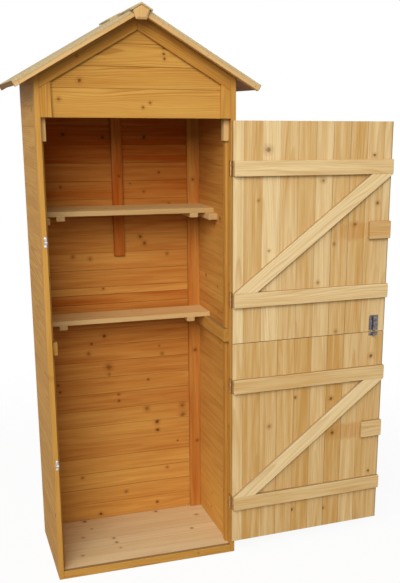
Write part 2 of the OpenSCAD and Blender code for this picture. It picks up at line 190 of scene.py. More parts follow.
class Bundle:
    """Shells gathered into one piece."""

    def __init__(self) -> None:
        """Starts with nothing in it."""
        self.shells: list[Shell] = []

    def add(self, *shells: Shell) -> "Bundle":
        """Takes in more shells and returns itself."""
        self.shells.extend(shells)
        return self

    def put(
        self,
        name: str,
        finish: bpy.types.Material,
        body: str,
        stands_for: Sequence[str] = (),
        slot: str | None = None,
        smooth: float | None = None,
    ) -> bpy.types.Object:
        """Makes the object at the origin, with its place in its mesh, and hands it to the frame.

        Args:
            name: the piece's name.
            finish: its material.
            body: the CAD body it rides on.
            stands_for: CAD nodes that it replaces.
            slot: not used.
            smooth: edges flatter than this many degrees are shaded smooth.

        Returns:
            The finished object.
        """
        mesh = bpy.data.meshes.new(name)
        sizes = [len(s.points) for s in self.shells]
        shift = np.repeat(np.cumsum([0, *sizes[:-1]]), [len(s.corners) for s in self.shells])
        points = np.concatenate([s.points for s in self.shells]) * MM
        corners = np.concatenate([s.corners for s in self.shells]) + shift
        counts = np.concatenate([s.counts for s in self.shells])
        mesh.vertices.add(len(points))
        mesh.vertices.foreach_set("co", points.astype(np.float32).ravel())
        mesh.loops.add(len(corners))
        mesh.loops.foreach_set("vertex_index", corners.astype(np.int32))
        mesh.polygons.add(len(counts))
        mesh.polygons.foreach_set("loop_start", (np.cumsum(counts) - counts).astype(np.int32))
        for key in self.shells[0].values:
            layer = mesh.attributes.new(key, "FLOAT_VECTOR", "POINT")
            data = np.concatenate([s.values[key] for s in self.shells])
            layer.data.foreach_set("vector", data.astype(np.float32).ravel())
        mesh.update(calc_edges=True)
        mesh.validate()
        if smooth is None:
            mesh.shade_flat()
        else:
            mesh.shade_smooth()
            mesh.set_sharp_from_angle(angle=math.radians(smooth))
        piece = bpy.data.objects.new(name, mesh)
        bpy.context.scene.collection.objects.link(piece)
        piece.data.materials.append(finish)
        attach(piece, body)
        if stands_for:
            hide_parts(*stands_for)
        log.info("%s: %d shells, %d faces on %s", name, len(self.shells), len(counts), body)
        return piece


# ------------------------------------------------------------------ timber


@dataclass(frozen=True)
class Knot:
    """A knot: where it lies along the board's length and across the panel, and its radius."""

    at: float
    up: float
    size: float = 5.0


@dataclass(frozen=True)
class Placing:
    """Where a panel of boards lies: a corner and the directions of length, width and thickness."""

    corner: Sequence[float]
    along: Sequence[float]
    across: Sequence[float]
    out: Sequence[float]

    def turn(self) -> np.ndarray:
        """The matrix whose columns are the three directions."""
        return np.stack([self.along, self.across, self.out], -1).astype(float)


@dataclass(frozen=True)
class Edges:
    """How a board's long edges are worked."""

    tongue: bool = False
    groove: bool = False
    arris: float = 1.0
    gap: float = 0.0
    crown: float = 0.0


TONGUE = 3.4


def section(width: float, thick: float, edges: Edges) -> np.ndarray:
    """A board's cross-section, counter-clockwise in (across, thickness).

    It is a rectangle with its four arrises taken off; a tongue stands out of the far edge and a groove
    lies in the near one, each a third of the thickness. A crown tilts the far edge down as thickness grows.

    Args:
        width: width of the board between its seams.
        thick: thickness of the board.
        edges: how its edges are worked.

    Returns:
        The points, one row each.
    """
    a, lo, hi = edges.arris, edges.gap, width - edges.gap
    third, slack = thick / 3, 0.3
    near, far = lo + TONGUE + 0.6, hi + TONGUE
    rows = [(lo + a, 0), (hi - a, 0), (hi, a)]
    if edges.tongue:
        rows += [(hi, third + slack), (far, third + slack), (far, 2 * third - slack), (hi, 2 * third - slack)]
    rows += [(hi, thick - a), (hi - a, thick), (lo + a, thick), (lo, thick - a)]
    if edges.groove:
        rows += [(lo, 2 * third), (near, 2 * third), (near, third), (lo, third)]
    rows += [(lo, a)]
    points = np.array(rows, float)
    points[points[:, 0] > width / 2, 0] -= edges.crown * points[points[:, 0] > width / 2, 1]
    return points


@dataclass
class Look:
    """What one board looks like: its tone from -1 (pale) to 1 (deep), its own seed, and its knots."""

    tone: float
    seed: float
    knots: Sequence[Knot] = ()
    blush: tuple[float, float, float] = (0.0, 1.0, 0.0)


@dataclass
class Stock:
    """A stack of boards to build one sub-assembly from, picked in a fixed order."""

    seed: int
    spread: float = 0.45
    knotty: float = 2.2
    size: float = 5.0

    def __post_init__(self) -> None:
        """Starts the stock's own random draws."""
        self.draw = np.random.default_rng(self.seed)

    def pick(
        self, start: float, stop: float, low: float, width: float, tone: float | None = None,
        knots: Sequence[Knot] | None = None,
    ) -> Look:
        """Picks the next board.

        Args:
            start: where the board starts along its length.
            stop: where it ends.
            low: its lower seam across the panel.
            width: its width.
            tone: its tone, or None to draw one.
            knots: the panel's known knots, or None to draw some; those off this board are dropped.

        Returns:
            The board's look, its knots counted from its own lower seam.
        """
        toss = self.draw.random(14)
        if knots is None:
            count = min(3, int(self.draw.poisson(self.knotty * (stop - start) * MM)))
            own = [
                Knot(start + (stop - start) * (0.06 + 0.88 * toss[3 + 3 * i]),
                     width * (0.15 + 0.7 * toss[4 + 3 * i]),
                     self.size * (0.45 + 0.85 * toss[5 + 3 * i] ** 2))
                for i in range(count)
            ]
        else:
            own = [Knot(k.at, k.up - low, k.size) for k in knots if low <= k.up < low + width][:3]
        return Look((toss[0] * 2 - 1) * self.spread if tone is None else tone, float(toss[1]), own)


def plank(
    place: Placing, width: float, thick: float, start: float | Ends, stop: float | Ends, look: Look,
    low: float = 0.0, edges: Edges = Edges(), coat: Sequence[float] | None = None, rim: float = -1.0,
) -> Shell:
    """One board: its cross-section carried along its length between two end cuts.

    A point is corner + along * u + across * (low + w) + out * t. The first and last rings lie in the end
    cuts and are shrunk by the arris; the second and third stand one arris inside them at full size.

    Args:
        place: the panel the board belongs to.
        width: its width between seams.
        thick: its thickness.
        start: u of its near end, or a function of (across in the panel, thickness).
        stop: u of its far end, likewise.
        look: its tone, seed and knots.
        low: its lower seam across the panel.
        edges: how its edges are worked.
        coat: on the back face (t = 0) and on the front face, 0 for the finish's inside layer (bare wood on
            the doors, painted shade on the inside walls) to 1 stained.
        rim: width of the weathered strip along the far edge, or -1 for a board with no joints.

    Returns:
        The board as a closed shell with its grain on it.
    """
    w, t = section(width, thick, edges).T
    mid_w, mid_t, arris = width / 2, thick / 2, max(edges.arris, 0.3)
    small_w = mid_w + (w - mid_w) * (1 - arris / mid_w)
    small_t = mid_t + (t - mid_t) * (1 - arris / mid_t)
    ww, tt = np.stack([small_w, w, w, small_w]), np.stack([small_t, t, t, small_t])
    near = start(ww[:2] + low, tt[:2]) if callable(start) else np.full((2, len(w)), float(start))
    far = stop(ww[2:] + low, tt[2:]) if callable(stop) else np.full((2, len(w)), float(stop))
    u = np.concatenate([near + [[0], [arris]], far - [[arris], [0]]])
    local = np.stack([u, ww, tt], -1).reshape(-1, 3)
    shift = local + [0, low, 0]
    shell = Shell(shift, *ring_faces(4, len(w))).placed(place.turn(), place.corner)
    n = len(local)
    ends = np.repeat([1.0, 0.0, 0.0, 1.0], len(w))
    back, front = coat or (1.0, 1.0)
    stain = np.where(local[:, 2] < thick / 2, back, front)
    knots = [(k.at, k.up, k.size) for k in look.knots] + [(-9e4, 0.0, 1.0)] * 3
    shell.values = {
        "grain": local,
        "board": np.tile([look.tone, look.seed, width], (n, 1)),
        "coat": np.stack([stain, ends, np.full(n, rim)], -1),
        "knot_a": np.tile(knots[0], (n, 1)),
        "knot_b": np.tile(knots[1], (n, 1)),
        "knot_c": np.tile(knots[2], (n, 1)),
        "blush": np.tile(look.blush, (n, 1)),
    }
    return shell


def seams(low: float, high: float, first: float, pitch: float, least: float = 9.0) -> list[float]:
    """Seams of a panel from low to high: the first one and then one every pitch, none too near the top."""
    inside = np.arange(first, high - least, pitch)
    return [low, *[float(s) for s in inside if s > low + least], high]


def panel(
    place: Placing, lines: Sequence[float], thick: float, start: float | Ends, stop: float | Ends,
    stock: Stock,
    tones: Sequence[float] | None = None, knots: Sequence[Knot] | None = None, arris: float = 0.35,
    crown: float = 0.0, coat: Sequence[float] | None = None,
    blushes: dict[int, tuple[float, float, float]] | None = None, span: tuple[float, float] | None = None,
    rim: float = 0.0,
) -> list[Shell]:
    """Tongued boards side by side, their seams at the given lines across the panel.

    Args:
        place: where the panel lies.
        lines: its seams, from its near edge to its far edge.
        thick: thickness of the boards.
        start: where the boards start, as for plank.
        stop: where they end.
        stock: the boards to pick from.
        tones: each board's tone, or None to draw them.
        knots: the panel's known knots, or None to draw some.
        arris: width of the eased edges that make each V joint.
        crown: tilt of the last board's far edge.
        coat: as for plank.
        blushes: darker patches by board number: middle, half length and strength.
        span: length range for drawing knots where the ends are functions.
        rim: weathered strip along the last board's far edge; from 0 to -1 the joints fade.

    Returns:
        The boards.
    """
    boards = []
    reach = span or (float(start), float(stop))
    for i, (low, high) in enumerate(zip(lines[:-1], lines[1:])):
        look = stock.pick(*reach, low, high - low, tones[i % len(tones)] if tones else None, knots)
        if blushes and i in blushes:
            look.blush = blushes[i]
        gap = 0.02 + 0.08 * stock.draw.random()
        last = i == len(lines) - 2
        edges = Edges(tongue=not last, groove=i > 0, arris=arris, gap=gap if len(lines) > 2 else 0.0,
                      crown=crown if last else 0.0)
        boards.append(plank(place, high - low, thick, start, stop, look, low, edges, coat, rim
                            if last else min(rim, 0.0)))
    return boards


# ------------------------------------------------------------------ finishes


def linear(code: str, alpha: float = 1.0) -> tuple[float, float, float, float]:
    """An sRGB hex colour as linear red, green and blue, with alpha."""
    parts = [int(code[i : i + 2], 16) / 255 for i in (1, 3, 5)]
    return (*[c / 12.92 if c <= 0.04045 else ((c + 0.055) / 1.055) ** 2.4 for c in parts], alpha)


def add(tree: bpy.types.NodeTree, kind: str, takes: Sequence | dict = (), out: int | str = 0,
        **settings) -> bpy.types.NodeSocket:
    """Adds one shader node.

    Args:
        tree: the material's node tree.
        kind: the node's type, without its ShaderNode prefix.
        takes: what goes into its inputs, in order or by name. A socket is linked, a value is set, None is
            left alone.
        out: which output to return.
        settings: the node's own settings.

    Returns:
        The output socket.
    """
    node = tree.nodes.new("ShaderNode" + kind)
    for key, value in settings.items():
        setattr(node, key, value)
    for key, value in takes.items() if isinstance(takes, dict) else enumerate(takes):
        if isinstance(value, bpy.types.NodeSocket):
            tree.links.new(value, node.inputs[key])
        elif value is not None:
            node.inputs[key].default_value = value
    return node.outputs[out] if node.outputs else node


def blank(name: str) -> tuple[bpy.types.Material, bpy.types.NodeTree]:
    """A new node material with nothing in its tree."""
    material = bpy.data.materials.new(name)
    material.use_nodes = True
    material.node_tree.nodes.clear()
    return material, material.node_tree


def surface(tree: bpy.types.NodeTree, takes: dict) -> None:
    """Ends a tree in a Principled surface with the given inputs."""
    shader = add(tree, "BsdfPrincipled", takes)
    add(tree, "OutputMaterial", {"Surface": shader})


@dataclass(frozen=True)
class SoftwoodFinish:
    """Planed fir: sawn from young logs, so rings are wide, knots are many, and grain flows round them.

    Early wood is pale and late wood darker and redder, in rings about 4 mm apart. The stain is thin and
    lets the figure show; planed faces are satin, and end grain drinks more of it and reads darker.
    """

    name: str
    pale: str
    deep: str
    late: str
    knot: str
    core: str
    ring: float = 0.55
    streak: float = 0.5
    rough: float = 0.62
    inside_pale: str | None = None
    inside_deep: str | None = None
    inside_late: str | None = None

    def knot_field(self, t: bpy.types.NodeTree, along, across, key: str, wobble) -> tuple:
        """One knot's shape: how far it pushes the grain aside, and the distance to it in radii.

        The push is the radius times a bell along the board, a fall-off across it, and a soft sign.

        Args:
            t: the node tree.
            along: length coordinate in millimetres.
            across: width coordinate in millimetres.
            key: the attribute that holds the knot.
            wobble: small noise that keeps the knot from being a true circle.

        Returns:
            Sockets of the push in millimetres and the distance in radii.
        """
        where = add(t, "Attribute", attribute_name=key, out="Vector")
        split = add(t, "SeparateXYZ", [where]).node
        at, up, size = split.outputs
        dl = add(t, "Math", [along, at], operation="SUBTRACT")
        dw = add(t, "Math", [across, up], operation="SUBTRACT")
        reach = add(t, "Math", [size, 4.2, 5.0], operation="MULTIPLY_ADD")
        bell = add(t, "Math", [dl, reach], operation="DIVIDE")
        bell = add(t, "Math", [bell, bell], operation="MULTIPLY")
        bell = add(t, "Math", [bell, -1.0], operation="MULTIPLY")
        far = add(t, "Math", [dw], operation="ABSOLUTE")
        near = add(t, "Math", [size, 0.7, 0.6], operation="MULTIPLY_ADD")
        soft = add(t, "Math", [far, near], operation="ADD")
        side = add(t, "Math", [dw, soft], operation="DIVIDE")
        width = add(t, "Math", [size, -2.2, -1.0], operation="MULTIPLY_ADD")
        fall = add(t, "Math", [far, width], operation="DIVIDE")
        fall = add(t, "Math", [bell, fall], operation="ADD")
        fall = add(t, "Math", [fall], operation="EXPONENT")
        push = add(t, "Math", [side, fall], operation="MULTIPLY")
        push = add(t, "Math", [push, size], operation="MULTIPLY")
        flat = add(t, "CombineXYZ", [dl, dw, 0.0])
        dist = add(t, "VectorMath", [flat], operation="LENGTH", out="Value")
        dist = add(t, "Math", [dist, size], operation="DIVIDE")
        dist = add(t, "Math", [dist, wobble], operation="ADD")
        return push, dist

    def make(self) -> bpy.types.Material:
        """Builds the node tree and returns the material."""
        material, t = blank(self.name)
        grain = add(t, "Attribute", attribute_name="grain", out="Vector")
        board = add(t, "SeparateXYZ", [add(t, "Attribute", attribute_name="board", out="Vector")]).node
        coat = add(t, "SeparateXYZ", [add(t, "Attribute", attribute_name="coat", out="Vector")]).node
        tone, seed, width = board.outputs
        stain, end, rim = coat.outputs
        along, across, depth = add(t, "SeparateXYZ", [grain]).node.outputs
        jump = add(t, "VectorMath", [(1900.0, 700.0, 300.0)], operation="SCALE")
        t.links.new(seed, jump.node.inputs["Scale"])
        own = add(t, "VectorMath", [grain, jump], operation="ADD")

        def fibre(size: tuple[float, float, float], detail: float,
                  rough: float = 0.5) -> bpy.types.NodeSocket:
            """Noise stretched along the fibre: its size along, across and through the board in mm."""
            scale = tuple(1.0 / s for s in size)
            spread = add(t, "VectorMath", [own, scale], operation="MULTIPLY")
            return add(t, "TexNoise", {"Vector": spread, "Scale": 1.0, "Detail": detail, "Roughness": rough})

        wobble = add(t, "MapRange", [fibre((6.0, 6.0, 6.0), 1.0), 0.3, 0.7, -0.22, 0.22])
        pushes, dists = [], []
        for key in ("knot_a", "knot_b", "knot_c"):
            push, dist = self.knot_field(t, along, across, key, wobble)
            pushes.append(push)
            dists.append(dist)
        push = add(t, "Math", [add(t, "Math", pushes[:2], operation="ADD"), pushes[2]], operation="ADD")
        dist = add(t, "Math", [add(t, "Math", dists[:2], operation="MINIMUM"), dists[2]], operation="MINIMUM")

        # Rings: distance from a pith that lies off the board's face, bent slowly along the length
        pick = add(t, "Math", [add(t, "Math", [seed, 7.31], operation="MULTIPLY")], operation="FRACT")
        pick2 = add(t, "Math", [add(t, "Math", [seed, 23.7], operation="MULTIPLY")], operation="FRACT")
        bend = add(t, "MapRange", [fibre((420.0, 70.0, 90.0), 2.0), 0.25, 0.75, -11.0, 11.0])
        pith = add(t, "Math", [width, add(t, "MapRange", [pick, 0, 1, -0.25, 1.25])], operation="MULTIPLY")
        side = add(t, "Math", [add(t, "Math", [across, push], operation="SUBTRACT"), pith],
                   operation="SUBTRACT")
        side = add(t, "Math", [side, bend], operation="ADD")
        below = add(t, "Math", [depth, add(t, "MapRange", [pick2, 0, 1, 10.0, 55.0])], operation="ADD")
        below = add(t, "Math", [below, add(t, "Math", [along, 0.016], operation="MULTIPLY")], operation="ADD")
        radius = add(t, "VectorMath", [add(t, "CombineXYZ", [side, below, 0.0])], operation="LENGTH",
                     out="Value")
        phase = add(t, "Math", [add(t, "Math", [radius, 0.24], operation="MULTIPLY")], operation="FRACT")
        rise = add(t, "MapRange", [phase, 0.35, 0.9, 0, 1], interpolation_type="SMOOTHSTEP")
        drop = add(t, "MapRange", [phase, 0.92, 1.0, 1, 0], interpolation_type="SMOOTHSTEP")
        late = add(t, "Math", [rise, drop], operation="MULTIPLY")
        patch = add(t, "MapRange", [fibre((260.0, 30.0, 30.0), 1.0), 0.35, 0.7, 0.25, 1.0])
        late = add(t, "Math", [late, patch], operation="MULTIPLY")
        late = add(t, "Math", [late, self.ring], operation="MULTIPLY")

        # Broad streaks and fine fibre: planed softwood is never one colour along a board
        broad = add(t, "MapRange", [fibre((330.0, 16.0, 20.0), 3.0, 0.6), 0.32, 0.68, -1.0, 1.0])
        fine = add(t, "MapRange", [fibre((45.0, 1.1, 2.0), 2.0, 0.6), 0.3, 0.7, -1.0, 1.0])

        def layer(pale: str, deep: str, dark: str, share: float = 1.0) -> bpy.types.NodeSocket:
            """The wood's colour between rings and in them, with a share of the board's own tone.

            Where the inside faces have colours of their own, bare wood on the doors and painted shade on the
            inside walls, only those faces take the tone in full.
            """
            own_tone = add(t, "Math", [tone, share], operation="MULTIPLY")
            shade = add(t, "Math", [broad, self.streak, own_tone], operation="MULTIPLY_ADD")
            shade = add(t, "MapRange", [shade, -1.0, 1.0, 0, 1])
            body = add(t, "Mix", {0: shade, 6: linear(pale), 7: linear(deep)}, 2, data_type="RGBA")
            return add(t, "Mix", {0: late, 6: body, 7: linear(dark)}, 2, data_type="RGBA")

        colour = layer(self.pale, self.deep, self.late, 0.3 if self.inside_pale else 1.0)
        # The inside faces' own layer: bare wood on the doors, painted shade on the inside walls and battens.
        if self.inside_pale:
            bare = layer(self.inside_pale, self.inside_deep, self.inside_late)
            colour = add(t, "Mix", {0: stain, 6: bare, 7: colour}, 2, data_type="RGBA")

        # A darker patch: a box along the board with ragged soft ends
        mid, half, force = add(
            t, "SeparateXYZ", [add(t, "Attribute", attribute_name="blush", out="Vector")]
        ).node.outputs
        off = add(t, "Math", [add(t, "Math", [along, mid], operation="SUBTRACT")], operation="ABSOLUTE")
        off = add(t, "Math", [off, half], operation="DIVIDE")
        off = add(t, "Math", [broad, 0.25, off], operation="MULTIPLY_ADD")
        inside = add(t, "MapRange", [off, 0.7, 1.25, 1, 0], interpolation_type="SMOOTHSTEP")
        inside = add(t, "Math", [inside, force], operation="MULTIPLY")
        colour = add(t, "Mix", {0: inside, 6: colour, 7: linear("#b9782c")}, 2, data_type="RGBA")

        # Knots: a reddish halo in the wood around, a brown body with faint rings and a darker middle
        halo = add(t, "MapRange", [dist, 0.8, 3.0, 0.32, 0], interpolation_type="SMOOTHSTEP")
        halo = add(t, "Math", [halo, add(t, "MapRange", [fine, -1, 1, 0.75, 1.1])], operation="MULTIPLY")
        colour = add(t, "Mix", {0: halo, 6: colour, 7: linear(self.knot)}, 2, data_type="RGBA")
        whorl = add(t, "Math", [add(t, "Math", [dist, 3.1], operation="MULTIPLY")], operation="FRACT")
        heart = add(t, "MapRange", [dist, 0.0, 0.9, 0.8, 0.15])
        heart = add(t, "Math", [whorl, 0.2, heart], operation="MULTIPLY_ADD")
        flesh = add(t, "Mix", {0: heart, 6: linear(self.knot), 7: linear(self.core)}, 2, data_type="RGBA")
        mask = add(t, "MapRange", [dist, 0.6, 1.2, 1, 0], interpolation_type="SMOOTHSTEP")
        strong = add(t, "Math", [mask, add(t, "MapRange", [pick2, 0, 1, 0.4, 0.9])], operation="MULTIPLY")
        colour = add(t, "Mix", {0: strong, 6: colour, 7: flesh}, 2, data_type="RGBA")

        # Stain gathers in some joints more than in others, and soaks into end grain
        room = add(t, "Math", [width, across], operation="SUBTRACT")
        edge = add(t, "Math", [across, room], operation="MINIMUM")
        line = add(t, "MapRange", [add(t, "Math", [add(t, "Math", [seed, 51.3], operation="MULTIPLY")],
                                       operation="FRACT"), 0, 1, 0.15, 0.9])
        line = add(t, "Math", [line, add(t, "MapRange", [rim, -1, 0, 0.12, 1])], operation="MULTIPLY")
        edge = add(t, "MapRange", [edge, 0.2, 1.7, 1, 0], interpolation_type="SMOOTHSTEP")
        edge = add(t, "Math", [edge, line], operation="MULTIPLY")
        soak = add(t, "Math", [edge, add(t, "Math", [end, 0.35], operation="MULTIPLY")], operation="MAXIMUM")
        value = add(t, "Math", [fine, 0.04, 1.0], operation="MULTIPLY_ADD")
        value = add(t, "Math", [value, add(t, "Math", [soak, -0.65, 1.0], operation="MULTIPLY_ADD")],
                    operation="MULTIPLY")
        colour = add(t, "VectorMath", {0: colour, "Scale": value}, operation="SCALE")
        worn = add(t, "Math", [room, add(t, "Math", [rim, 0.01], operation="MAXIMUM")], operation="DIVIDE")
        worn = add(t, "MapRange", [worn, 0.5, 1.1, 0.6, 0], interpolation_type="SMOOTHSTEP")
        colour = add(t, "Mix", {0: worn, 6: colour, 7: linear("#75664f")}, 2, data_type="RGBA")

        height = add(t, "Math", [late, 0.6, add(t, "Math", [fine, 0.2], operation="MULTIPLY")],
                     operation="MULTIPLY_ADD")
        height = add(t, "Math", [mask, 0.6, height], operation="MULTIPLY_ADD")
        bump = add(t, "Bump", {"Strength": 0.3, "Distance": 0.0004, "Height": height})
        gloss = add(t, "MapRange", [late, 0, 1, self.rough, self.rough - 0.12])
        surface(t, {"Base Color": colour, "Roughness": gloss, "Normal": bump, "Specular IOR Level": 0.05})
        return material


@dataclass(frozen=True)
class FeltFinish:
    """Bitumen roofing felt rolled with crushed slate: a matt grey sheet of dark and light grains."""

    name: str
    grey: str
    dark: str
    light: str
    grain_mm: float = 2.0

    def make(self) -> bpy.types.Material:
        """Builds the node tree and returns the material."""
        material, t = blank(self.name)
        place = add(t, "TexCoord", out="Object")
        cells = add(t, "TexVoronoi", {"Vector": place, "Scale": 1 / (self.grain_mm * MM)}, feature="F1")
        shade = add(t, "SeparateXYZ", [cells.node.outputs["Color"]]).node.outputs[0]
        cloud = add(t, "TexNoise", {"Vector": place, "Scale": 9.0, "Detail": 4.0})
        mixed = add(t, "Mix", {0: shade, 6: linear(self.dark), 7: linear(self.light)}, 2, data_type="RGBA")
        calm = add(t, "Mix", {0: add(t, "MapRange", [cloud, 0.3, 0.7, 0.35, 0.7]), 6: mixed,
                              7: linear(self.grey)},
                   2, data_type="RGBA")
        bump = add(t, "Bump", {"Strength": 0.6, "Distance": 0.0008, "Height": cells})
        surface(t, {"Base Color": calm, "Roughness": 0.93, "Normal": bump, "Specular IOR Level": 0.25})
        return material


@dataclass(frozen=True)
class ZincFinish:
    """Zinc plate on pressed steel: a silvery skin with a faint spangle, cloudy where it was handled."""

    name: str
    bright: str
    dull: str
    grain_mm: float = 2.5

    def make(self) -> bpy.types.Material:
        """Builds the node tree and returns the material."""
        material, t = blank(self.name)
        place = add(t, "TexCoord", out="Object")
        spangle = add(t, "TexVoronoi", {"Vector": place, "Scale": 1 / (self.grain_mm * MM)}, feature="F1")
        facet = add(t, "SeparateXYZ", [spangle.node.outputs["Color"]]).node.outputs[0]
        cloud = add(t, "TexNoise", {"Vector": place, "Scale": 120.0, "Detail": 3.0, "Roughness": 0.6})
        mixed = add(t, "MapRange", [cloud, 0.38, 0.62, 0, 1])
        shade = add(t, "Math", [facet, 0.35, add(t, "Math", [mixed, 0.65], operation="MULTIPLY")],
                    operation="MULTIPLY_ADD")
        colour = add(t, "Mix", {0: shade, 6: linear(self.dull), 7: linear(self.bright)}, 2, data_type="RGBA")
        rough = add(t, "MapRange", [shade, 0, 1, 0.48, 0.26])
        bump = add(t, "Bump", {"Strength": 0.15, "Distance": 0.0002, "Height": cloud})
        surface(t, {"Base Color": colour, "Metallic": 1.0, "Roughness": rough, "Normal": bump})
        return material


class Finishes:
    """Every finish on the shed, made once."""

    def __init__(self) -> None:
        """Makes the materials."""
        self.honey = SoftwoodFinish(
            "fir_planed_honey_stain", "#d1a152", "#b47c33", "#985d22", "#85501c", "#55300f"
        ).make()
        # The walls' inside copy of the honey stain: its inside colours, pale honey to a deep red brown, are
        # painted shade inside the shed, and the boards' tones choose between them.
        self.inner = SoftwoodFinish(
            "fir_planed_honey_inside", "#d6a04e", "#b9792e", "#995b1e", "#7a4012", "#4a260a", ring=0.25,
            streak=0.3,
            inside_pale="#dba957", inside_deep="#9d4809", inside_late="#934a12",
        ).make()
        self.pale = SoftwoodFinish(
            "fir_planed_thin_stain", "#dbb880", "#c6995a", "#b0803f", "#8f5b2a", "#5a361a", ring=0.3,
            streak=0.4
        ).make()
        self.door = SoftwoodFinish(
            "fir_planed_bare_inside", "#d6a04e", "#b9792e", "#995b1e", "#8f5a26", "#5c3818", ring=0.4,
            streak=0.55,
            inside_pale="#e7cf9f", inside_deep="#c69a58", inside_late="#b88743",
        ).make()
        self.felt = FeltFinish("felt_slate_grains", "#c0ab83", "#9f8d6b", "#d8c69d").make()
        self.bare = SoftwoodFinish(
            "fir_planed_unstained", "#e2cda4", "#cfb07e", "#b98f5c", "#94642f", "#5f3d20", ring=0.24,
            streak=0.35
        ).make()
        self.zinc = ZincFinish("steel_handled_zinc", "#8f8a8b", "#565153").make()
        self.bright = ZincFinish("steel_bright_zinc", "#dcdad8", "#9c9896").make()
        self.brassed = ZincFinish("steel_yellow_passivated", "#cdaa74", "#a58252").make()
        self.nail = ZincFinish("steel_nail_heads", "#a39a8c", "#6b6156").make()


# ------------------------------------------------------------------ the building


@dataclass
class Walls:
    """Side and back walls of level tongued boards in two panels each, and the two front stiles."""

    finishes: Finishes
    pitch: float = 61.6
    first_low: float = 28.4
    first_high: float = 918.0
    slope: float = math.tan(math.radians(30))
    top_strip: float = 857.0
    knots: Sequence[Knot] = (
        Knot(-195, 1270, 4), Knot(-45, 1435, 7), Knot(-178, 1445, 7), Knot(100, 1435, 7), Knot(95, 1250, 4),
        Knot(185, 1205, 4), Knot(150, 1315, 4), Knot(47, 1278, 3), Knot(78, 1092, 6), Knot(93, 1068, 6),
        Knot(-163, 1030, 5.5), Knot(-103, 1020, 5.5), Knot(175, 1028, 5), Knot(175, 1006, 5),
        Knot(-60, 912, 4),
        Knot(-63, 738, 6), Knot(-110, 712, 4), Knot(-122, 676, 6), Knot(150, 655, 5), Knot(140, 685, 3),
        Knot(-50, 620, 10), Knot(-50, 592, 4), Knot(-235, 568, 4), Knot(-230, 542, 4), Knot(95, 560, 4),
        Knot(132, 578, 4), Knot(245, 560, 5), Knot(-17, 512, 4.5), Knot(-17, 487, 4.5), Knot(88, 447, 8),
        Knot(225, 445, 8), Knot(227, 408, 9), Knot(126, 390, 7.5), Knot(127, 357, 6), Knot(-163, 200, 4.5),
        Knot(162, 200, 4.5), Knot(0, 122, 5), Knot(205, 305, 3), Knot(-100, 45, 5), Knot(120, 62, 5),
    )

    def lower_lines(self, high: float) -> list[float]:
        """Seams of a lower panel: whole boards up to a narrow strip at the top."""
        lines = seams(0.0, self.top_strip, self.first_low, self.pitch)
        return [*lines, high]

    def tones(self, lines: Sequence[float], stock: Stock, painted_light_lift: float = 0.0) -> list[float]:
        """Tones of the boards between the seams, painted light and shade: paler by the floor, and each panel
        deeper towards its top, in the shade under the lower shelf and under the roof; a lift pales them all
        as painted light.
        """
        low = np.array(lines[:-1])
        # Painted shade: deeper towards the top of each panel, under the lower shelf and under the roof; paler
        # by the floor as painted light.
        tone = np.where(low < 880, 0.9 * (low - 400.0) / 1000.0, 1.1 * (low - 880.0) / 700.0).clip(-0.22, 0.9)
        return [float(t) - painted_light_lift + 0.14 * (stock.draw.random() * 2 - 1) for t in tone]

    def back(self) -> None:
        """The back wall's two panels; boards run from side to side."""
        for name, seed, tag in (("back_wall_lower", 11, "lower"), ("back_wall_upper", 12, "upper")):
            lo, hi = (np.array(c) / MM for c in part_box(name))
            lines = self.lower_lines(hi[2]) if tag == "lower" else seams(lo[2], hi[2], self.first_high,
                                                                         self.pitch)
            place = Placing((0, lo[1], 0), X, Z, Y)
            stock = Stock(seed)
            # The boards' tones paint the shade inside: deeper under the lower shelf and under the roof, paler
            # by the floor.
            shells = panel(place, lines, hi[1] - lo[1], lo[0], hi[0], stock, self.tones(lines, stock),
                           self.knots,
                           coat=(0.0, 1.0))
            Bundle().add(*shells).put(name + "_boards", self.finishes.inner, "shed", [name],
                                      "honey_stained_fir")

    def side(self, name: str, seed: int) -> None:
        """One panel of a side wall; boards run from front to back and the top is cut to the roof's slope.

        Args:
            name: the CAD node that the panel stands for.
            seed: seed of its stock.
        """
        lo, hi = (np.array(c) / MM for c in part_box(name))
        left = "left" in name
        inner, out = (hi[0], -X) if left else (lo[0], X)
        place = Placing((inner, 0, 0), Y, Z, out)
        lower = "lower" in name
        lines = self.lower_lines(hi[2]) if lower else seams(lo[2], hi[2], self.first_high, self.pitch)
        stock = Stock(seed, spread=0.4)
        # The right wall's inside takes the painted shade of these tones, lifted 0.55 paler as painted light.
        tones = [-0.35, -0.15, -0.45, -0.25, -0.5] if left else self.tones(lines, stock, 0.55)
        shells = panel(place, lines, hi[0] - lo[0], lo[1], hi[1], stock, tones, crown=0.0
                       if lower else self.slope,
                       coat=(0.0, 1.0), rim=-0.5)
        finish = self.finishes.honey if left else self.finishes.inner
        Bundle().add(*shells).put(name + "_boards", finish, "shed", [name], "honey_stained_fir")

    def stiles(self) -> None:
        """The two front stiles, their heads cut to the roof's slope."""
        lo, hi = (np.array(c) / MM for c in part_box("front_stiles"))
        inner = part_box("right_wall_lower")[0][0] / MM
        bundle, stock = Bundle(), Stock(21, spread=0.15)
        for side in (-1, 1):
            place = Placing((side * inner, lo[1], 0), Z, Y, side * X)
            look = stock.pick(lo[2], hi[2], 0, hi[1] - lo[1], tone=-0.25)
            bundle.add(plank(place, hi[1] - lo[1], hi[0] - inner, 0.0, lambda w, t: hi[2] - t * self.slope,
                             look,
                             edges=Edges(arris=1.0)))
        bundle.put("front_stile_posts", self.finishes.honey, "shed", ["front_stiles"], "honey_stained_fir")

    def build(self) -> None:
        """Builds all the walls."""
        self.back()
        for seed, name in enumerate(("left_wall_lower", "left_wall_upper", "right_wall_lower",
                                     "right_wall_upper")):
            self.side(name, 30 + seed)
        self.stiles()


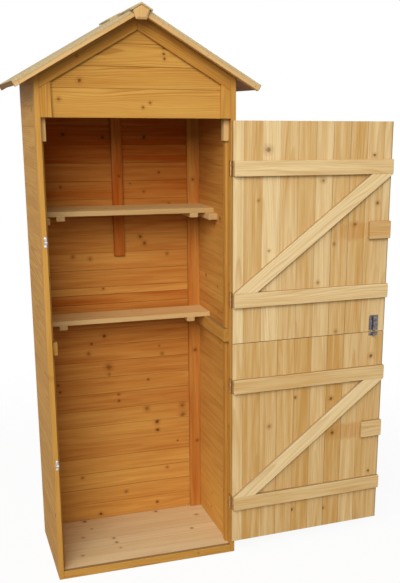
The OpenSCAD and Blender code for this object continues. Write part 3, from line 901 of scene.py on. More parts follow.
def sticks(
    name: str, node: str, boxes: Sequence[tuple], finish: bpy.types.Material, slot: str, stock: Stock,
    tone: float | Sequence[float] | None = None, arris: float = 1.0, knots: Sequence[Knot] | None = None,
    coat: Sequence[float] | None = None,
) -> bpy.types.Object:
    """Planed battens, each a box with eased edges whose grain runs along its longest side.

    Args:
        name: the piece's name.
        node: the CAD node that it stands for.
        boxes: lowest and highest corner of each batten, in millimetres.
        finish: the material.
        slot: the record's material slot.
        stock: the timber to pick from.
        tone: the battens' tone or tones, or None to draw them.
        arris: width of the eased edges.
        knots: known knots, counted along the length and across the width in the frame, or None.
        coat: as for plank.

    Returns:
        The finished piece.
    """
    bundle = Bundle()
    tones = tone if isinstance(tone, Sequence) else [tone] * len(boxes)
    for (low, high), own in zip(boxes, tones):
        low, high = np.array(low, float), np.array(high, float)
        size = high - low
        order = np.argsort(-size)
        axes = np.eye(3)[order]
        corner = low * (1 - np.abs(axes[0])) * (1 - np.abs(axes[1]))
        u, w = low @ axes[0], low @ axes[1]
        look = stock.pick(u, u + size[order[0]], w, size[order[1]], own, knots)
        bundle.add(plank(Placing(corner, *axes), size[order[1]], size[order[2]], u, u + size[order[0]], look,
                         w,
                         Edges(arris=arris), coat))
    return bundle.put(name, finish, "shed", [node], slot)


def mirrored(low: Sequence[float], high: Sequence[float]) -> list[tuple]:
    """A box on the right-hand side and its twin on the left."""
    return [(low, high), ((-high[0], low[1], low[2]), (-low[0], high[1], high[2]))]


@dataclass
class Floor:
    """Bearers, boards from side to side, and the strip across the front."""

    finishes: Finishes
    bearer: float = 30.0
    pitch: float = 61.0

    def build(self) -> None:
        """Builds the floor."""
        lo, hi = (np.array(c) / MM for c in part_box("floor_bearers"))
        strip_lo, strip_hi = (np.array(c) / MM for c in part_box("floor_front_strip"))
        rows = [lo[1], (strip_lo[1] + (hi[1] + 16) - self.bearer) / 2, hi[1] - self.bearer]
        boxes = [((lo[0], y, lo[2]), (hi[0], y + self.bearer, hi[2])) for y in rows]
        sticks("floor_bearer_battens", "floor_bearers", boxes, self.finishes.honey, "honey_stained_fir",
               Stock(41))
        lo, hi = (np.array(c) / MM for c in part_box("floor_boards"))
        lines = seams(lo[1], hi[1], lo[1] + self.pitch, self.pitch)
        knots = (Knot(-165, 163, 7), Knot(110, 163, 6), Knot(-150, 95, 4), Knot(250, 85, 6),
                 Knot(-192, 35, 5),
                 Knot(-88, -5, 5), Knot(202, -20, 5), Knot(-85, -40, 5), Knot(-217, -100, 5),
                 Knot(-80, -85, 4))
        shells = panel(Placing((0, 0, lo[2]), X, Y, Z), lines, hi[2] - lo[2], lo[0], hi[0],
                       Stock(42, spread=0.3),
                       tones=[-0.3, -0.05, -0.35, 0.1, -0.1, 0.05], knots=knots)
        Bundle().add(*shells).put("floor_boards_laid", self.finishes.bare, "shed", ["floor_boards"],
                                  "honey_stained_fir")
        sticks("floor_lip", "floor_front_strip", [(strip_lo, strip_hi)], self.finishes.honey,
               "honey_stained_fir",
               Stock(43), tone=-0.2)


@dataclass
class Battens:
    """Upright strips and battens inside the walls, and the cleats behind the gable."""

    finishes: Finishes
    strip: float = 8.0
    corner: float = 43.0
    centre: float = 37.0
    centre_foot: float = 1028.0

    def build(self) -> None:
        """Builds the strips, battens and cleats."""
        honey, slot = self.finishes.honey, "honey_stained_fir"
        lo, hi = (np.array(c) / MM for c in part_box("front_strips"))
        rail_lo, rail_hi = (np.array(c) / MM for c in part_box("middle_rails"))
        boxes = [b for z0, z1 in ((lo[2], rail_lo[2]), (rail_hi[2], hi[2]))
                 for b in mirrored((hi[0] - self.strip, lo[1], z0), (hi[0], hi[1], z1))]
        sticks("front_strip_battens", "front_strips", boxes, honey, slot, Stock(51, spread=0.2))
        lo, hi = (np.array(c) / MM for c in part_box("back_battens"))
        boxes = [*mirrored((hi[0] - self.corner, lo[1], lo[2]), hi),
                 ((-self.centre / 2, lo[1], self.centre_foot), (self.centre / 2, hi[1], hi[2]))]
        knots = (Knot(662, 275, 6), Knot(1305, 5, 4), Knot(1290, 270, 5), Knot(300, 280, 5))
        # Painted shade: the battens wear the inside colours, and the centre one, high under the roof, a
        # deeper tone.
        sticks("back_wall_battens", "back_battens", boxes, self.finishes.inner, slot, Stock(52),
               tone=[0.3, 0.3, 0.8], knots=knots, coat=(0.0, 0.0))
        lo, hi = (np.array(c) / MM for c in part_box("gable_cleats"))
        sticks("gable_cleat_blocks", "gable_cleats", mirrored((hi[0] - 16.0, lo[1], lo[2]), hi),
               self.finishes.pale,
               "pale_stained_fir", Stock(53), tone=-0.6)


@dataclass
class Shelves:
    """Two shelves of tongued boards, the battens under them and the rails they rest on."""

    finishes: Finishes
    rail: float = 18.0
    upper_rail: float = 30.0
    batten: float = 27.0
    batten_h: float = 15.0

    def build(self) -> None:
        """Builds the rails, shelves and battens."""
        pale, slot = self.finishes.pale, "pale_stained_fir"
        lo, hi = (np.array(c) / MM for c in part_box("middle_rails"))
        sticks("middle_wall_rails", "middle_rails", mirrored((hi[0] - self.rail, lo[1], lo[2]), hi),
               self.finishes.honey, "honey_stained_fir", Stock(61), tone=-0.3)
        boards = {"lower_shelf": ([0, 62, 121], [-0.7, -0.9]),
                  "upper_shelf": ([0, 57, 114, 171], [-0.45, -0.3, -0.55])}
        backs = {}
        for seed, (node, (lines, tones)) in enumerate(boards.items()):
            lo, hi = (np.array(c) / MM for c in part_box(node))
            backs[node] = (lo, hi)
            spots = np.array(lines, float) + lo[1]
            spots[-1] = hi[1]
            shells = panel(Placing((0, 0, lo[2]), X, Y, Z), list(spots), hi[2] - lo[2], lo[0], hi[0],
                           Stock(62 + seed, knotty=1.5, size=4), tones=tones, arris=0.5, rim=-0.7)
            Bundle().add(*shells).put(node + "_boards", pale, "shed", [node], slot)
        lo, hi = (np.array(c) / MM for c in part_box("upper_shelf_rails"))
        sticks("upper_shelf_bearers", "upper_shelf_rails",
               mirrored((hi[0] - self.upper_rail, lo[1], lo[2]), hi), pale,
               slot, Stock(65), tone=-0.5)
        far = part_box("shelf_battens")[1][0] / MM
        boxes = []
        for low, high in backs.values():
            boxes += mirrored((far - self.batten, low[1], low[2] - self.batten_h), (far, high[1], low[2]))
        sticks("shelf_under_battens", "shelf_battens", boxes, pale, slot, Stock(66), tone=-0.6)


@dataclass
class Gable:
    """The front gable: level boards cut to the roof, upright trims at its ends and sloping trims above."""

    finishes: Finishes
    pitch_deg: float = 30.0
    lines: Sequence[float] = (1500.0, 1585.0, 1648.5, 1712.5, 1776.0)
    trim: float = 33.0
    rake: float = 40.0

    def cut(self, ridge: float, half: float) -> Ends:
        """Where a board ends on the right: at the wall, or under the roof where that is nearer."""
        slope = math.tan(math.radians(self.pitch_deg))
        return lambda w, t: np.minimum(half, (ridge - w) / slope)

    def build(self) -> None:
        """Builds both gables and the front one's trims."""
        finishes, slot = self.finishes, "honey_stained_fir"
        lo, hi = (np.array(c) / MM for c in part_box("gable_panel"))
        right = self.cut(hi[2], hi[0])
        lines = [*self.lines, hi[2]]
        knots = (Knot(-175, 1606, 6), Knot(-238, 1553, 5), Knot(83, 1706, 5), Knot(82, 1688, 4),
                 Knot(84, 1674, 4),
                 Knot(-95, 1682, 4), Knot(37, 1545, 4), Knot(15, 1532, 4))
        shells = panel(Placing((0, lo[1], 0), X, Z, Y), lines, hi[1] - lo[1], lambda w, t: -right(w, t),
                       right,
                       Stock(71, spread=0.25), tones=[-0.3, 0.1, -0.2, 0.0, 0.1], knots=knots,
                       span=(lo[0], hi[0]),
                       arris=0.6)
        Bundle().add(*shells).put("gable_boards", finishes.honey, "shed", ["gable_panel"], slot)
        lo, hi = (np.array(c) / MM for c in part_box("rear_gable_panel"))
        right = self.cut(hi[2], hi[0])
        lines = seams(lo[2], hi[2], lo[2] + 34.0, 61.6)
        shells = panel(Placing((0, lo[1], 0), X, Z, Y), lines, hi[1] - lo[1], lambda w, t: -right(w, t),
                       right,
                       Stock(72, spread=0.35), span=(lo[0] / 2, hi[0] / 2))
        Bundle().add(*shells).put("rear_gable_boards", finishes.honey, "shed", ["rear_gable_panel"], slot)
        self.trims()

    def trims(self) -> None:
        """Upright end trims with heads cut to the slope, and two sloping trims mitred on the centre line."""
        finishes, slot = self.finishes, "honey_stained_fir"
        pitch = math.radians(self.pitch_deg)
        slope, sin, cos = math.tan(pitch), math.sin(pitch), math.cos(pitch)
        lo, hi = (np.array(c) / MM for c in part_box("gable_end_trims"))
        head = hi[2]  # at the trims' inner edges
        bundle, stock = Bundle(), Stock(73, spread=0.2, knotty=0.5)
        for side in (-1, 1):
            place = Placing((side * (hi[0] - self.trim), lo[1], 0), Z, side * X, Y)
            look = stock.pick(lo[2], head, 0, self.trim, tone=0.05 if side > 0 else 0.3)
            bundle.add(plank(place, self.trim, hi[1] - lo[1], lo[2], lambda w, t: head - w * slope, look))
        bundle.put("gable_upright_trims", finishes.honey, "shed", ["gable_end_trims"], slot)
        lo, hi = (np.array(c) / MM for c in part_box("gable_rake_trims"))
        bundle, stock = Bundle(), Stock(74, spread=0.2)
        for side in (-1, 1):
            along, across = np.array([side * cos, 0, -sin]), np.array([side * sin, 0, cos])
            corner = np.array([0, lo[1], hi[2]]) - across * self.rake
            # Painted shade: the sloping trims take a deeper tone than the upright ones, for the shade under
            # the bargeboards.
            look = stock.pick(0, hi[0] / cos, 0, self.rake, tone=0.55)
            place = Placing(corner, along, across, Y)
            # Plumb cuts: x = 0 at the ridge and x = the wall's inner face at the foot
            bundle.add(plank(place, self.rake, hi[1] - lo[1], lambda w, t: (self.rake - w) * slope,
                             lambda w, t: hi[0] / cos + (self.rake - w) * slope, look))
        bundle.put("gable_sloping_trims", finishes.honey, "shed", ["gable_rake_trims"], slot)


@dataclass
class Roof:
    """Boards from front to back on each slope, felt over them, bargeboards and finials at both ends."""

    finishes: Finishes
    pitch_deg: float = 30.0
    boards_pitch: float = 62.0
    board_t: float = 14.0
    barge: float = 18.0
    barge_t: float = 18.0
    felt: float = 2.0
    patch: tuple[float, float, float] = (180.0, 37.0, 5.0)
    turn_down: float = 6.0
    foot: float = 31.0
    bevel: tuple[float, float] = (6.0, 3.5)

    def __post_init__(self) -> None:
        """Takes the roof's own lines from the bargeboards' box."""
        self.lo, self.hi = (np.array(c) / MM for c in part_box("bargeboards"))
        pitch = math.radians(self.pitch_deg)
        self.sin, self.cos, self.slope = math.sin(pitch), math.cos(pitch), math.tan(pitch)
        self.length = self.hi[0] / self.cos
        self.ridge = np.array([0, 0, self.hi[2]])

    def axes(self, side: int) -> tuple[np.ndarray, np.ndarray]:
        """Directions down the slope and square out of it, on the left (-1) or the right (1)."""
        return np.array([side * self.cos, 0, -self.sin]), np.array([side * self.sin, 0, self.cos])

    def boards(self) -> None:
        """The roof boards: their seams run level, and the top board's edge is cut plumb at the ridge."""
        for side, word in ((-1, "left"), (1, "right")):
            node = word + "_roof_boards"
            lo, hi = (np.array(c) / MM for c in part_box(node))
            down, out = self.axes(side)
            lean = self.board_t * self.slope
            lines = seams(lean, self.length, lean + self.boards_pitch, self.boards_pitch)
            shells = panel(Placing(self.ridge - out * self.board_t, Y, down, out), lines, self.board_t, lo[1],
                           hi[1],
                           Stock(81 + side), tones=[0.8, 0.45, 1.0, 0.6])
            local, width = shells[0].values["grain"], shells[0].values["board"][0, 2]
            shift = np.where(local[:, 1] < width / 2, local[:, 2] * self.slope, 0.0)
            shells[0].points = shells[0].points - shift[:, None] * down
            Bundle().add(*shells).put(word + "_roof_boarding", self.finishes.honey, "shed", [node],
                                      "honey_stained_fir")

    def sheet(self, side: int, y0: float, y1: float) -> Shell:
        """The felt on one slope: its top is a grid over (down the slope, along the ridge).

        The sheet's section, at each station down the slope, runs over the top from one edge, turned down
        over a bargeboard, to the other and back underneath. It leans to a plumb cut at the ridge.

        Args:
            side: the slope, -1 or 1.
            y0: the front edge.
            y1: the back edge.

        Returns:
            The sheet as a closed shell.
        """
        down, out = self.axes(side)
        stations, skin = np.linspace(0, self.length, 61)[:, None], 1.0
        lip = self.turn_down + 0.5 * np.sin(stations * 0.045 + side)
        cols = np.linspace(y0, y1, 41)
        ripple = 0.25 * np.sin(cols * 0.021 + stations * 0.012)
        ripple = ripple + 0.12 * np.sin(cols * 0.063 - stations * 0.031)
        top, under, ones = self.felt - 0.4 + ripple[:, 1:-1], np.full((61, 39), 0.05), np.ones((61, 1))
        ys = np.concatenate([[y0 - skin] * 2, cols[1:-1], [y1 + skin] * 2, [y1] * 2, cols[-2:0:-1], [y0] * 2])
        zs = np.concatenate([-lip, ones * (self.felt - 0.5), top, ones * (self.felt - 0.5), -lip, -lip,
                             ones * 0.05,
                             under, ones * 0.05, -lip], 1)
        u = stations - zs * self.slope * (1 - stations / self.length)
        points = self.ridge + u[..., None] * down + zs[..., None] * out + ys[None, :, None] * Y
        shell = Shell(points.reshape(-1, 3), *ring_faces(61, points.shape[1]))
        # The section runs forwards to back over the top, which is clockwise seen from the right-hand eaves
        return shell.flipped() if side > 0 else shell

    def fold(self, side: int, y0: float, y1: float) -> list[Shell]:
        """A folded patch beside the ridge: two turns of felt, the upper one a little narrower."""
        down, out = self.axes(side)
        turns, half = [], self.patch[2] / 2
        for level, width in ((self.felt, self.patch[1]), (self.felt + half, self.patch[1] - 1.2)):
            low, high = level + 0.05, level + half - 0.05
            outline = [(-low * self.slope, low), (width - 0.6, low), (width, low + 0.6), (width, high - 0.6),
                       (width - 0.6, high), (-high * self.slope, high)]
            points = np.array([u * down + z * out + self.ridge + y * Y for y in (y0, y1) for u, z in outline])
            shell = Shell(points, *ring_faces(2, len(outline)))
            turns.append(shell if side < 0 else shell.flipped())
        return turns

    def felts(self) -> None:
        """The felt of both slopes: a sheet, and a folded patch at each end of the ridge over the finial."""
        for side, word in ((-1, "left"), (1, "right")):
            node = word + "_roof_felt"
            lo, hi = (np.array(c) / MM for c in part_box(node))
            ends = [*self.fold(side, lo[1], lo[1] + self.patch[0]),
                    *self.fold(side, hi[1] - self.patch[0], hi[1])]
            Bundle().add(self.sheet(side, self.lo[1], self.hi[1]), *ends).put(
                word + "_felt_sheet", self.finishes.felt, "shed", [node], "roofing_felt", smooth=35)

    def barges(self) -> None:
        """Two bargeboards at each end, mitred on the centre line and cut square at the eaves."""
        bundle, stock = Bundle(), Stock(85, spread=0.2, knotty=1.0, size=3)
        for y in (self.lo[1], self.hi[1] - self.barge_t):
            for side in (-1, 1):
                down, out = self.axes(side)
                look = stock.pick(0, self.length, 0, self.barge, tone=-0.3)
                bundle.add(plank(Placing(self.ridge + y * Y - out * self.barge, down, out, Y), self.barge,
                                 self.barge_t, lambda w, t: (self.barge - w) * self.slope, self.length, look,
                                 edges=Edges(arris=1.2)))
        bundle.put("barge_boards", self.finishes.pale, "shed", ["bargeboards"], "pale_stained_fir")

    def finials(self) -> None:
        """A five-sided bevelled plaque over each joint of the bargeboards, its grain upright."""
        lo, hi = (np.array(c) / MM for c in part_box("finials"))
        tall, half, thick = hi[2] - lo[2], hi[0], self.lo[1] - lo[1]
        side = tall - half * self.slope
        outline = np.array([(-self.foot / 2, 0), (self.foot / 2, 0), (half, side), (0, tall), (-half, side)])
        bundle, stock = Bundle(), Stock(86, knotty=0)
        for y, face in ((self.lo[1], -1), (self.hi[1], 1)):
            shell = prism(outline, thick, 0.8, self.bevel)
            local, n = shell.points, len(shell.points)
            look, far = stock.pick(0, tall, 0, 2 * half, tone=-0.1), np.tile([-9e4, 0, 1.0], (n, 1))
            shell.values = {
                "grain": np.stack([local[:, 1], local[:, 0] + half, local[:, 2]], -1),
                "board": np.tile([look.tone, look.seed, 2 * half], (n, 1)),
                "coat": np.tile([1.0, 0.0, 0.0], (n, 1)),
                "knot_a": far, "knot_b": far, "knot_c": far, "blush": np.tile([0, 1.0, 0], (n, 1)),
            }
            bundle.add(shell.placed(np.stack([X, Z, face * Y], -1), (0, y, lo[2])))
        bundle.put("ridge_finials", self.finishes.pale, "shed", ["finials"], "pale_stained_fir")

    def build(self) -> None:
        """Builds the roof."""
        self.boards()
        self.felts()
        self.barges()
        self.finials()


@dataclass
class Hinge:
    """The upright line that both leaves turn on, and the angle at which they stand open."""

    at: tuple[float, float]
    open_deg: float

    @classmethod
    def read(cls, joint: str) -> "Hinge":
        """Takes the line and the open angle from the frame's joint of that name."""
        row = next(j for j in frame["joints"] if j["name"] == joint)
        return cls((row["pos_m"][0] / MM, row["pos_m"][1] / MM), row["range_deg"][1])

    def open(self, shell: Shell) -> Shell:
        """Swings a shell from the closed to the open position: a turn about the line."""
        a = math.radians(self.open_deg)
        turn = np.array([[math.cos(a), -math.sin(a), 0], [math.sin(a), math.cos(a), 0], [0, 0, 1]])
        at = np.array([*self.at, 0.0])
        return shell.placed(turn, at - turn @ at)


@dataclass
class Door:
    """One leaf: upright tongued boards, two ledges, a brace and the block behind its outside bolt."""

    finishes: Finishes
    body: str
    hinge: Hinge
    tones: Sequence[float]
    knots: Sequence[Knot]
    seed: int
    width: float = 578.0
    thick: float = 12.0
    ledge: float = 49.0
    ledge_t: float = 15.0
    block: float = 82.0
    lines: Sequence[float] = (0, 37, 101, 164, 228, 292, 355, 419, 482, 546, 578)
    ledge_tones: Sequence[float] = (-0.45, -0.45)

    def piece(self, kind: str, shells: Sequence[Shell]) -> None:
        """Swings the shells open and puts them on the leaf as one piece."""
        node = f"{self.body}_{kind}"
        finish = self.finishes.door
        Bundle().add(*[self.hinge.open(s) for s in shells]).put(node + "_made", finish, self.body, [node],
                                                                "bare_fir")

    def build(self) -> None:
        """Builds the leaf."""
        edge = self.hinge.at[0] - 2.5  # the leaf's hinge edge when closed
        front = self.hinge.at[1] + 3.5  # the closed leaf's outer face
        z0, z1 = (c[2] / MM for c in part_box(self.body + "_boards"))
        stock = Stock(self.seed, spread=0.5)
        block_z = [c[2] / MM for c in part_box(self.body + "_block")]
        mid = (block_z[0] + block_z[1]) / 2 - 2
        place = Placing((edge, front, 0), Z, -X, Y)
        shells = panel(place, self.lines, self.thick, z0, z1, stock, tones=self.tones, knots=self.knots,
                       coat=(1.0, 0.0), blushes={6: (mid, 26, 0.22), 7: (mid, 30, 0.38),
                                                 8: (mid + 5, 24, 0.2)},
                       arris=0.4, rim=5.0)
        self.piece("boards", shells)
        ledges = [c[2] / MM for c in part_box(self.body + "_ledges")]
        inner = Placing((edge, front + self.thick, 0), -X, Z, Y)
        rows = []
        for low, tone in zip((ledges[0], ledges[1] - self.ledge), self.ledge_tones):
            look = stock.pick(0, self.width, low, self.ledge, tone=tone, knots=())
            rows.append(plank(inner, self.ledge, self.ledge_t, 0.0, self.width, look, low, Edges(arris=1.2),
                              (0.0, 0.0)))
        self.piece("ledges", rows)
        foot, head = ledges[0] + self.ledge, ledges[1] - self.ledge
        self.piece("brace", [self.brace(stock, edge, front, foot, head)])
        look = stock.pick(0, self.block, block_z[0], block_z[1] - block_z[0], tone=0.0, knots=())
        look.blush = (self.width - self.block / 2, 90.0, 0.25 if "upper" in self.body else 0.0)
        self.piece("block", [plank(inner, block_z[1] - block_z[0], self.ledge_t, self.width - self.block,
                                   self.width,
                                   look, block_z[0], Edges(arris=1.2), (0.0, 0.0))])

    def brace(self, stock: Stock, edge: float, front: float, foot: float, head: float) -> Shell:
        """The brace: a board from the lower ledge's hinge end to the upper ledge's free end, ends cut level.

        Its level cuts are ledge * hypot(width - 1.6 ledge, rise) / rise long, and it runs the leaf's width
        less one.

        Args:
            stock: the timber to pick from.
            edge: X of the closed leaf's hinge edge.
            front: Y of its outer face.
            foot: height of the lower ledge's top.
            head: height of the upper ledge's underside.

        Returns:
            The brace in the closed position.
        """
        rise = head - foot
        level_w = self.ledge * math.hypot(self.width - 1.6 * self.ledge, rise) / rise
        tilt = math.atan2(rise, self.width - level_w)
        along = np.array([-math.cos(tilt), 0, math.sin(tilt)])
        across = np.array([math.sin(tilt), 0, math.cos(tilt)])
        wide = level_w * math.sin(tilt)
        corner = np.array([edge, front + self.thick, foot]) - across * wide
        level = 1 / math.tan(tilt)
        # Level cuts: the height foot or head is reached where along * u + across * w has that rise
        start = lambda w, t: (wide - w) * level
        stop = lambda w, t: rise / math.sin(tilt) + (wide - w) * level
        look = stock.pick(0, rise / math.sin(tilt), 0, wide, tone=-1.05, knots=())
        return plank(Placing(corner, along, across, Y), wide, self.ledge_t, start, stop, look,
                     edges=Edges(arris=1.2), coat=(0.0, 0.0))


# ------------------------------------------------------------------ ironwork


def strap(length: float, radius: float, axis: float, thick: float = 1.45) -> Shell:
    """A horseshoe strap from local X 0 to length: an arch of the given outer radius about Z = axis.

    Its section runs over the arch and back underneath: radius * (cos, sin) of 0 to pi, then the inner
    radius of pi to 0, with a foot straight down at both sides.
    """
    turn = np.linspace(0, np.pi, 13)
    over = np.stack([np.cos(turn), np.sin(turn)], -1)
    inner = radius - thick
    section_yz = np.concatenate([[(radius, 0.3)], over * radius + (0, axis), [(-radius, 0.3), (-inner, 0.3)],
                                 over[::-1] * inner + (0, axis), [(inner, 0.3)]])
    rings = [np.column_stack([np.full(len(section_yz), x), section_yz]) for x in (0.0, length)]
    return Shell(np.concatenate(rings), *ring_faces(2, len(section_yz)))


def dome(at: Sequence[float], radius: float, rise: float, around: int = 12) -> Shell:
    """A low domed head standing on local Z, centred at the given point."""
    profile = [(radius, -0.2), (radius, rise * 0.45), (radius * 0.72, rise * 0.85), (radius * 0.25, rise)]
    return turned(profile, around).placed(np.eye(3), at)


@dataclass(frozen=True)
class BarrelBolt:
    """A barrel bolt in its own frame: X the way it shoots, Z off the board, its case's end at the origin."""

    plate: tuple[float, float, float] = (56.0, 36.0, 1.5)
    loop: float = 12.0
    inset: float = 3.0
    axis: float = 5.5
    strap_r: float = 5.3
    rod_r: float = 3.5
    knob: tuple[float, float, float] = (-37.5, 2.5, 14.0)

    def case(self) -> list[Shell]:
        """The pressed plate, its two straps and four screws."""
        length, width, thick = self.plate
        base = prism(rounded(length, width, 3.5), thick, 0.4).placed(np.eye(3), (-length / 2, 0, 0))
        straps = [strap(self.loop, self.strap_r, self.axis).placed(np.eye(3), (x, 0, 0))
                  for x in (self.inset - length, -self.inset - self.loop)]
        screws = [dome((x, y, thick), 3.0, 1.1) for x in (-length + 6, -6)
                  for y in (-width / 2 + 5, width / 2 - 5)]
        return [base, *straps, *screws]

    def keeper(self, width: float, height: float) -> list[Shell]:
        """The keeper: a plate with one strap and a screw at each end."""
        base = prism(rounded(width, height, 2.0), self.plate[2], 0.4).placed(np.eye(3), (width / 2, 0, 0))
        screws = [dome((width / 2, y, self.plate[2]), 3.0, 1.1)
                  for y in (-height / 2 + 4.5, height / 2 - 4.5)]
        return [base, strap(width, self.strap_r, self.axis), *screws]

    def rod(self) -> list[Shell]:
        """The bolt itself, drawn back 1 mm inside the case's end, and its finger knob."""
        r, tail = self.rod_r, 2 - self.plate[0]
        bar = turned([(r - 0.8, tail), (r, tail + 0.8), (r, -1.8), (r - 0.8, -1)])
        x, knob_r, tall = self.knob
        grip = [(knob_r - 0.5, r * 0.6), (knob_r - 0.5, tall - 5), (knob_r, tall - 4), (knob_r, tall - 1.5),
                (knob_r - 0.9, tall - 0.3), (0.5, tall)]
        return [bar.placed(np.stack([Y, Z, X], -1), (0, 0, self.axis)),
                turned(grip).placed(np.eye(3), (x, 0, self.axis))]


@dataclass
class Ironwork:
    """Barrel bolts, keepers and butt hinges."""

    finishes: Finishes
    hinges: dict[str, Hinge]
    bolt: BarrelBolt = BarrelBolt()
    free_x: float = -286.0
    keeper_x: float = -294.5
    seam_x: float = -245.0
    inner_y: float = -179.0
    front_y: float = -191.0
    leaf: tuple[float, float] = (-190.0, -176.0)
    tab: float = -193.5
    leaf_t: float = 1.5
    tall: float = 48.0
    slack: float = 0.4
    knuckle_r: float = 3.5

    def outward(self, shells: Sequence[Shell], x: float, z: float) -> list[Shell]:
        """Places shells on the closed door's outer face, the bolt shooting to the left."""
        return [s.placed(np.stack([-X, Z, -Y], -1), (x, self.front_y, z)) for s in shells]

    def inward(self, shells: Sequence[Shell], z: float) -> list[Shell]:
        """Places shells on the closed door's inner face, the bolt shooting down."""
        return [s.placed(np.stack([-Z, -X, Y], -1), (self.seam_x, self.inner_y, z)) for s in shells]

    def bolts(self) -> None:
        """The two outside bolts, the one across the seam, and their keepers."""
        bolt, zinc = self.bolt, self.finishes.zinc
        mids = {door: sum(c[2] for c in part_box(door + "_bolt")) / 2 / MM for door in self.hinges}
        seam_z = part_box("seam_bolt")[0][2] / MM - 1.0
        keeper_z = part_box("lower_door_bolt_irons")[1][2] / MM
        upper, lower = self.hinges.values()
        irons = self.outward(bolt.case(), self.free_x, mids[Leaf.UPPER.value]) + self.inward(bolt.case(),
                                                                                             seam_z)
        self.leaf_piece("upper_door_bolt_irons", irons, zinc, Leaf.UPPER.value, upper)
        irons = self.outward(bolt.case(), self.free_x,
                             mids[Leaf.LOWER.value]) + self.inward(bolt.keeper(12, 36), keeper_z)
        self.leaf_piece("lower_door_bolt_irons", irons, zinc, Leaf.LOWER.value, lower)
        for door, hinge in self.hinges.items():
            rod = self.outward(bolt.rod(), self.free_x, mids[door])
            self.leaf_piece(door + "_bolt", rod, zinc, door.replace("door", "bolt"), hinge)
        self.leaf_piece("seam_bolt", self.inward(bolt.rod(), seam_z), zinc, "seam_bolt_slider", upper)
        keepers = [k for z in mids.values() for k in self.outward(bolt.keeper(9, 33), self.keeper_x, z)]
        Bundle().add(*keepers).put("bolt_keepers_made", self.finishes.bright, "shed", ["bolt_keepers"],
                                   "zinc_ironwork",
                                   smooth=35)

    def leaf_piece(self, node: str, shells: Sequence[Shell], finish: bpy.types.Material, body: str,
                   hinge: Hinge) -> None:
        """Swings shells open and puts them on a body as one piece that stands for a node."""
        Bundle().add(*[hinge.open(s) for s in shells]).put(node + "_made", finish, body, [node],
                                                           "zinc_ironwork",
                                                            smooth=35)

    def plate(self, x: float, bottom: float, tabs: Sequence[tuple[float, float]], full: bool) -> list[Shell]:
        """One hinge leaf lying in Y and Z, with its tabs reaching to the knuckles, and its screws.

        Args:
            x: X of the leaf's left face.
            bottom: height of its foot.
            tabs: heights between which it reaches out, counted from the foot.
            full: whether the tabs are at its ends rather than in its middle.

        Returns:
            The leaf and two screw heads on its left face.
        """
        near, far = self.leaf
        if full:
            (_, a), (b, _) = tabs
            outline = [(self.tab, 0), (far, 0), (far, self.tall), (self.tab, self.tall), (self.tab, b),
                       (near, b),
                       (near, a), (self.tab, a)]
        else:
            a, b = tabs[0]
            outline = [(near, 0), (far, 0), (far, self.tall), (near, self.tall), (near, b), (self.tab, b),
                       (self.tab, a), (near, a)]
        plate = prism(np.array(outline, float), self.leaf_t, 0.2).placed(np.stack([Y, Z, X], -1),
                                                                         (x, 0, bottom))
        mid = (near + far) / 2
        side, face = (-X, x) if full else (X, x + self.leaf_t)
        screws = [dome((0, 0, 0), 2.6, 0.5).placed(np.stack([Y, Z, side], -1), (face, mid, bottom + z))
                  for z in (8.0, self.tall - 8.0)]
        return [plate, *screws]

    def knuckle(self, at: Sequence[float], low: float, high: float) -> Shell:
        """One rolled knuckle between two heights."""
        r = self.knuckle_r
        return turned([(r - 0.5, low), (r, low + 0.5), (r, high - 0.5), (r - 0.5, high)]).placed(np.eye(3),
                                                                                                 (*at, 0))

    def butts(self) -> None:
        """Two butt hinges a leaf: outer knuckles and one plate on the jamb, the rest on the door."""
        third, jamb_shells = self.tall / 3, []
        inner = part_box("right_wall_lower")[0][0] / MM
        for door, hinge in self.hinges.items():
            lo, hi = (c[2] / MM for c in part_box(door + "_hinge_leaves"))
            own = []
            for bottom in (lo, hi - self.tall):
                tabs = [(0.0, third), (2 * third, self.tall)]
                jamb_shells += self.plate(inner - self.leaf_t, bottom, tabs, True)
                jamb_shells += [self.knuckle(hinge.at, bottom + a, bottom + b) for a, b in tabs]
                a, b = third + self.slack, 2 * third - self.slack
                own += self.plate(hinge.at[0] - 2.5, bottom, [(a, b)], False)
                own.append(self.knuckle(hinge.at, bottom + a, bottom + b))
            self.leaf_piece(door + "_hinge_leaves", own, self.finishes.brassed, door, hinge)
        Bundle().add(*jamb_shells).put("jamb_hinge_leaves_made", self.finishes.brassed, "shed",
                                       ["jamb_hinge_leaves"],
                                       "zinc_ironwork", smooth=35)

    def build(self) -> None:
        """Builds the ironwork."""
        self.bolts()
        self.butts()


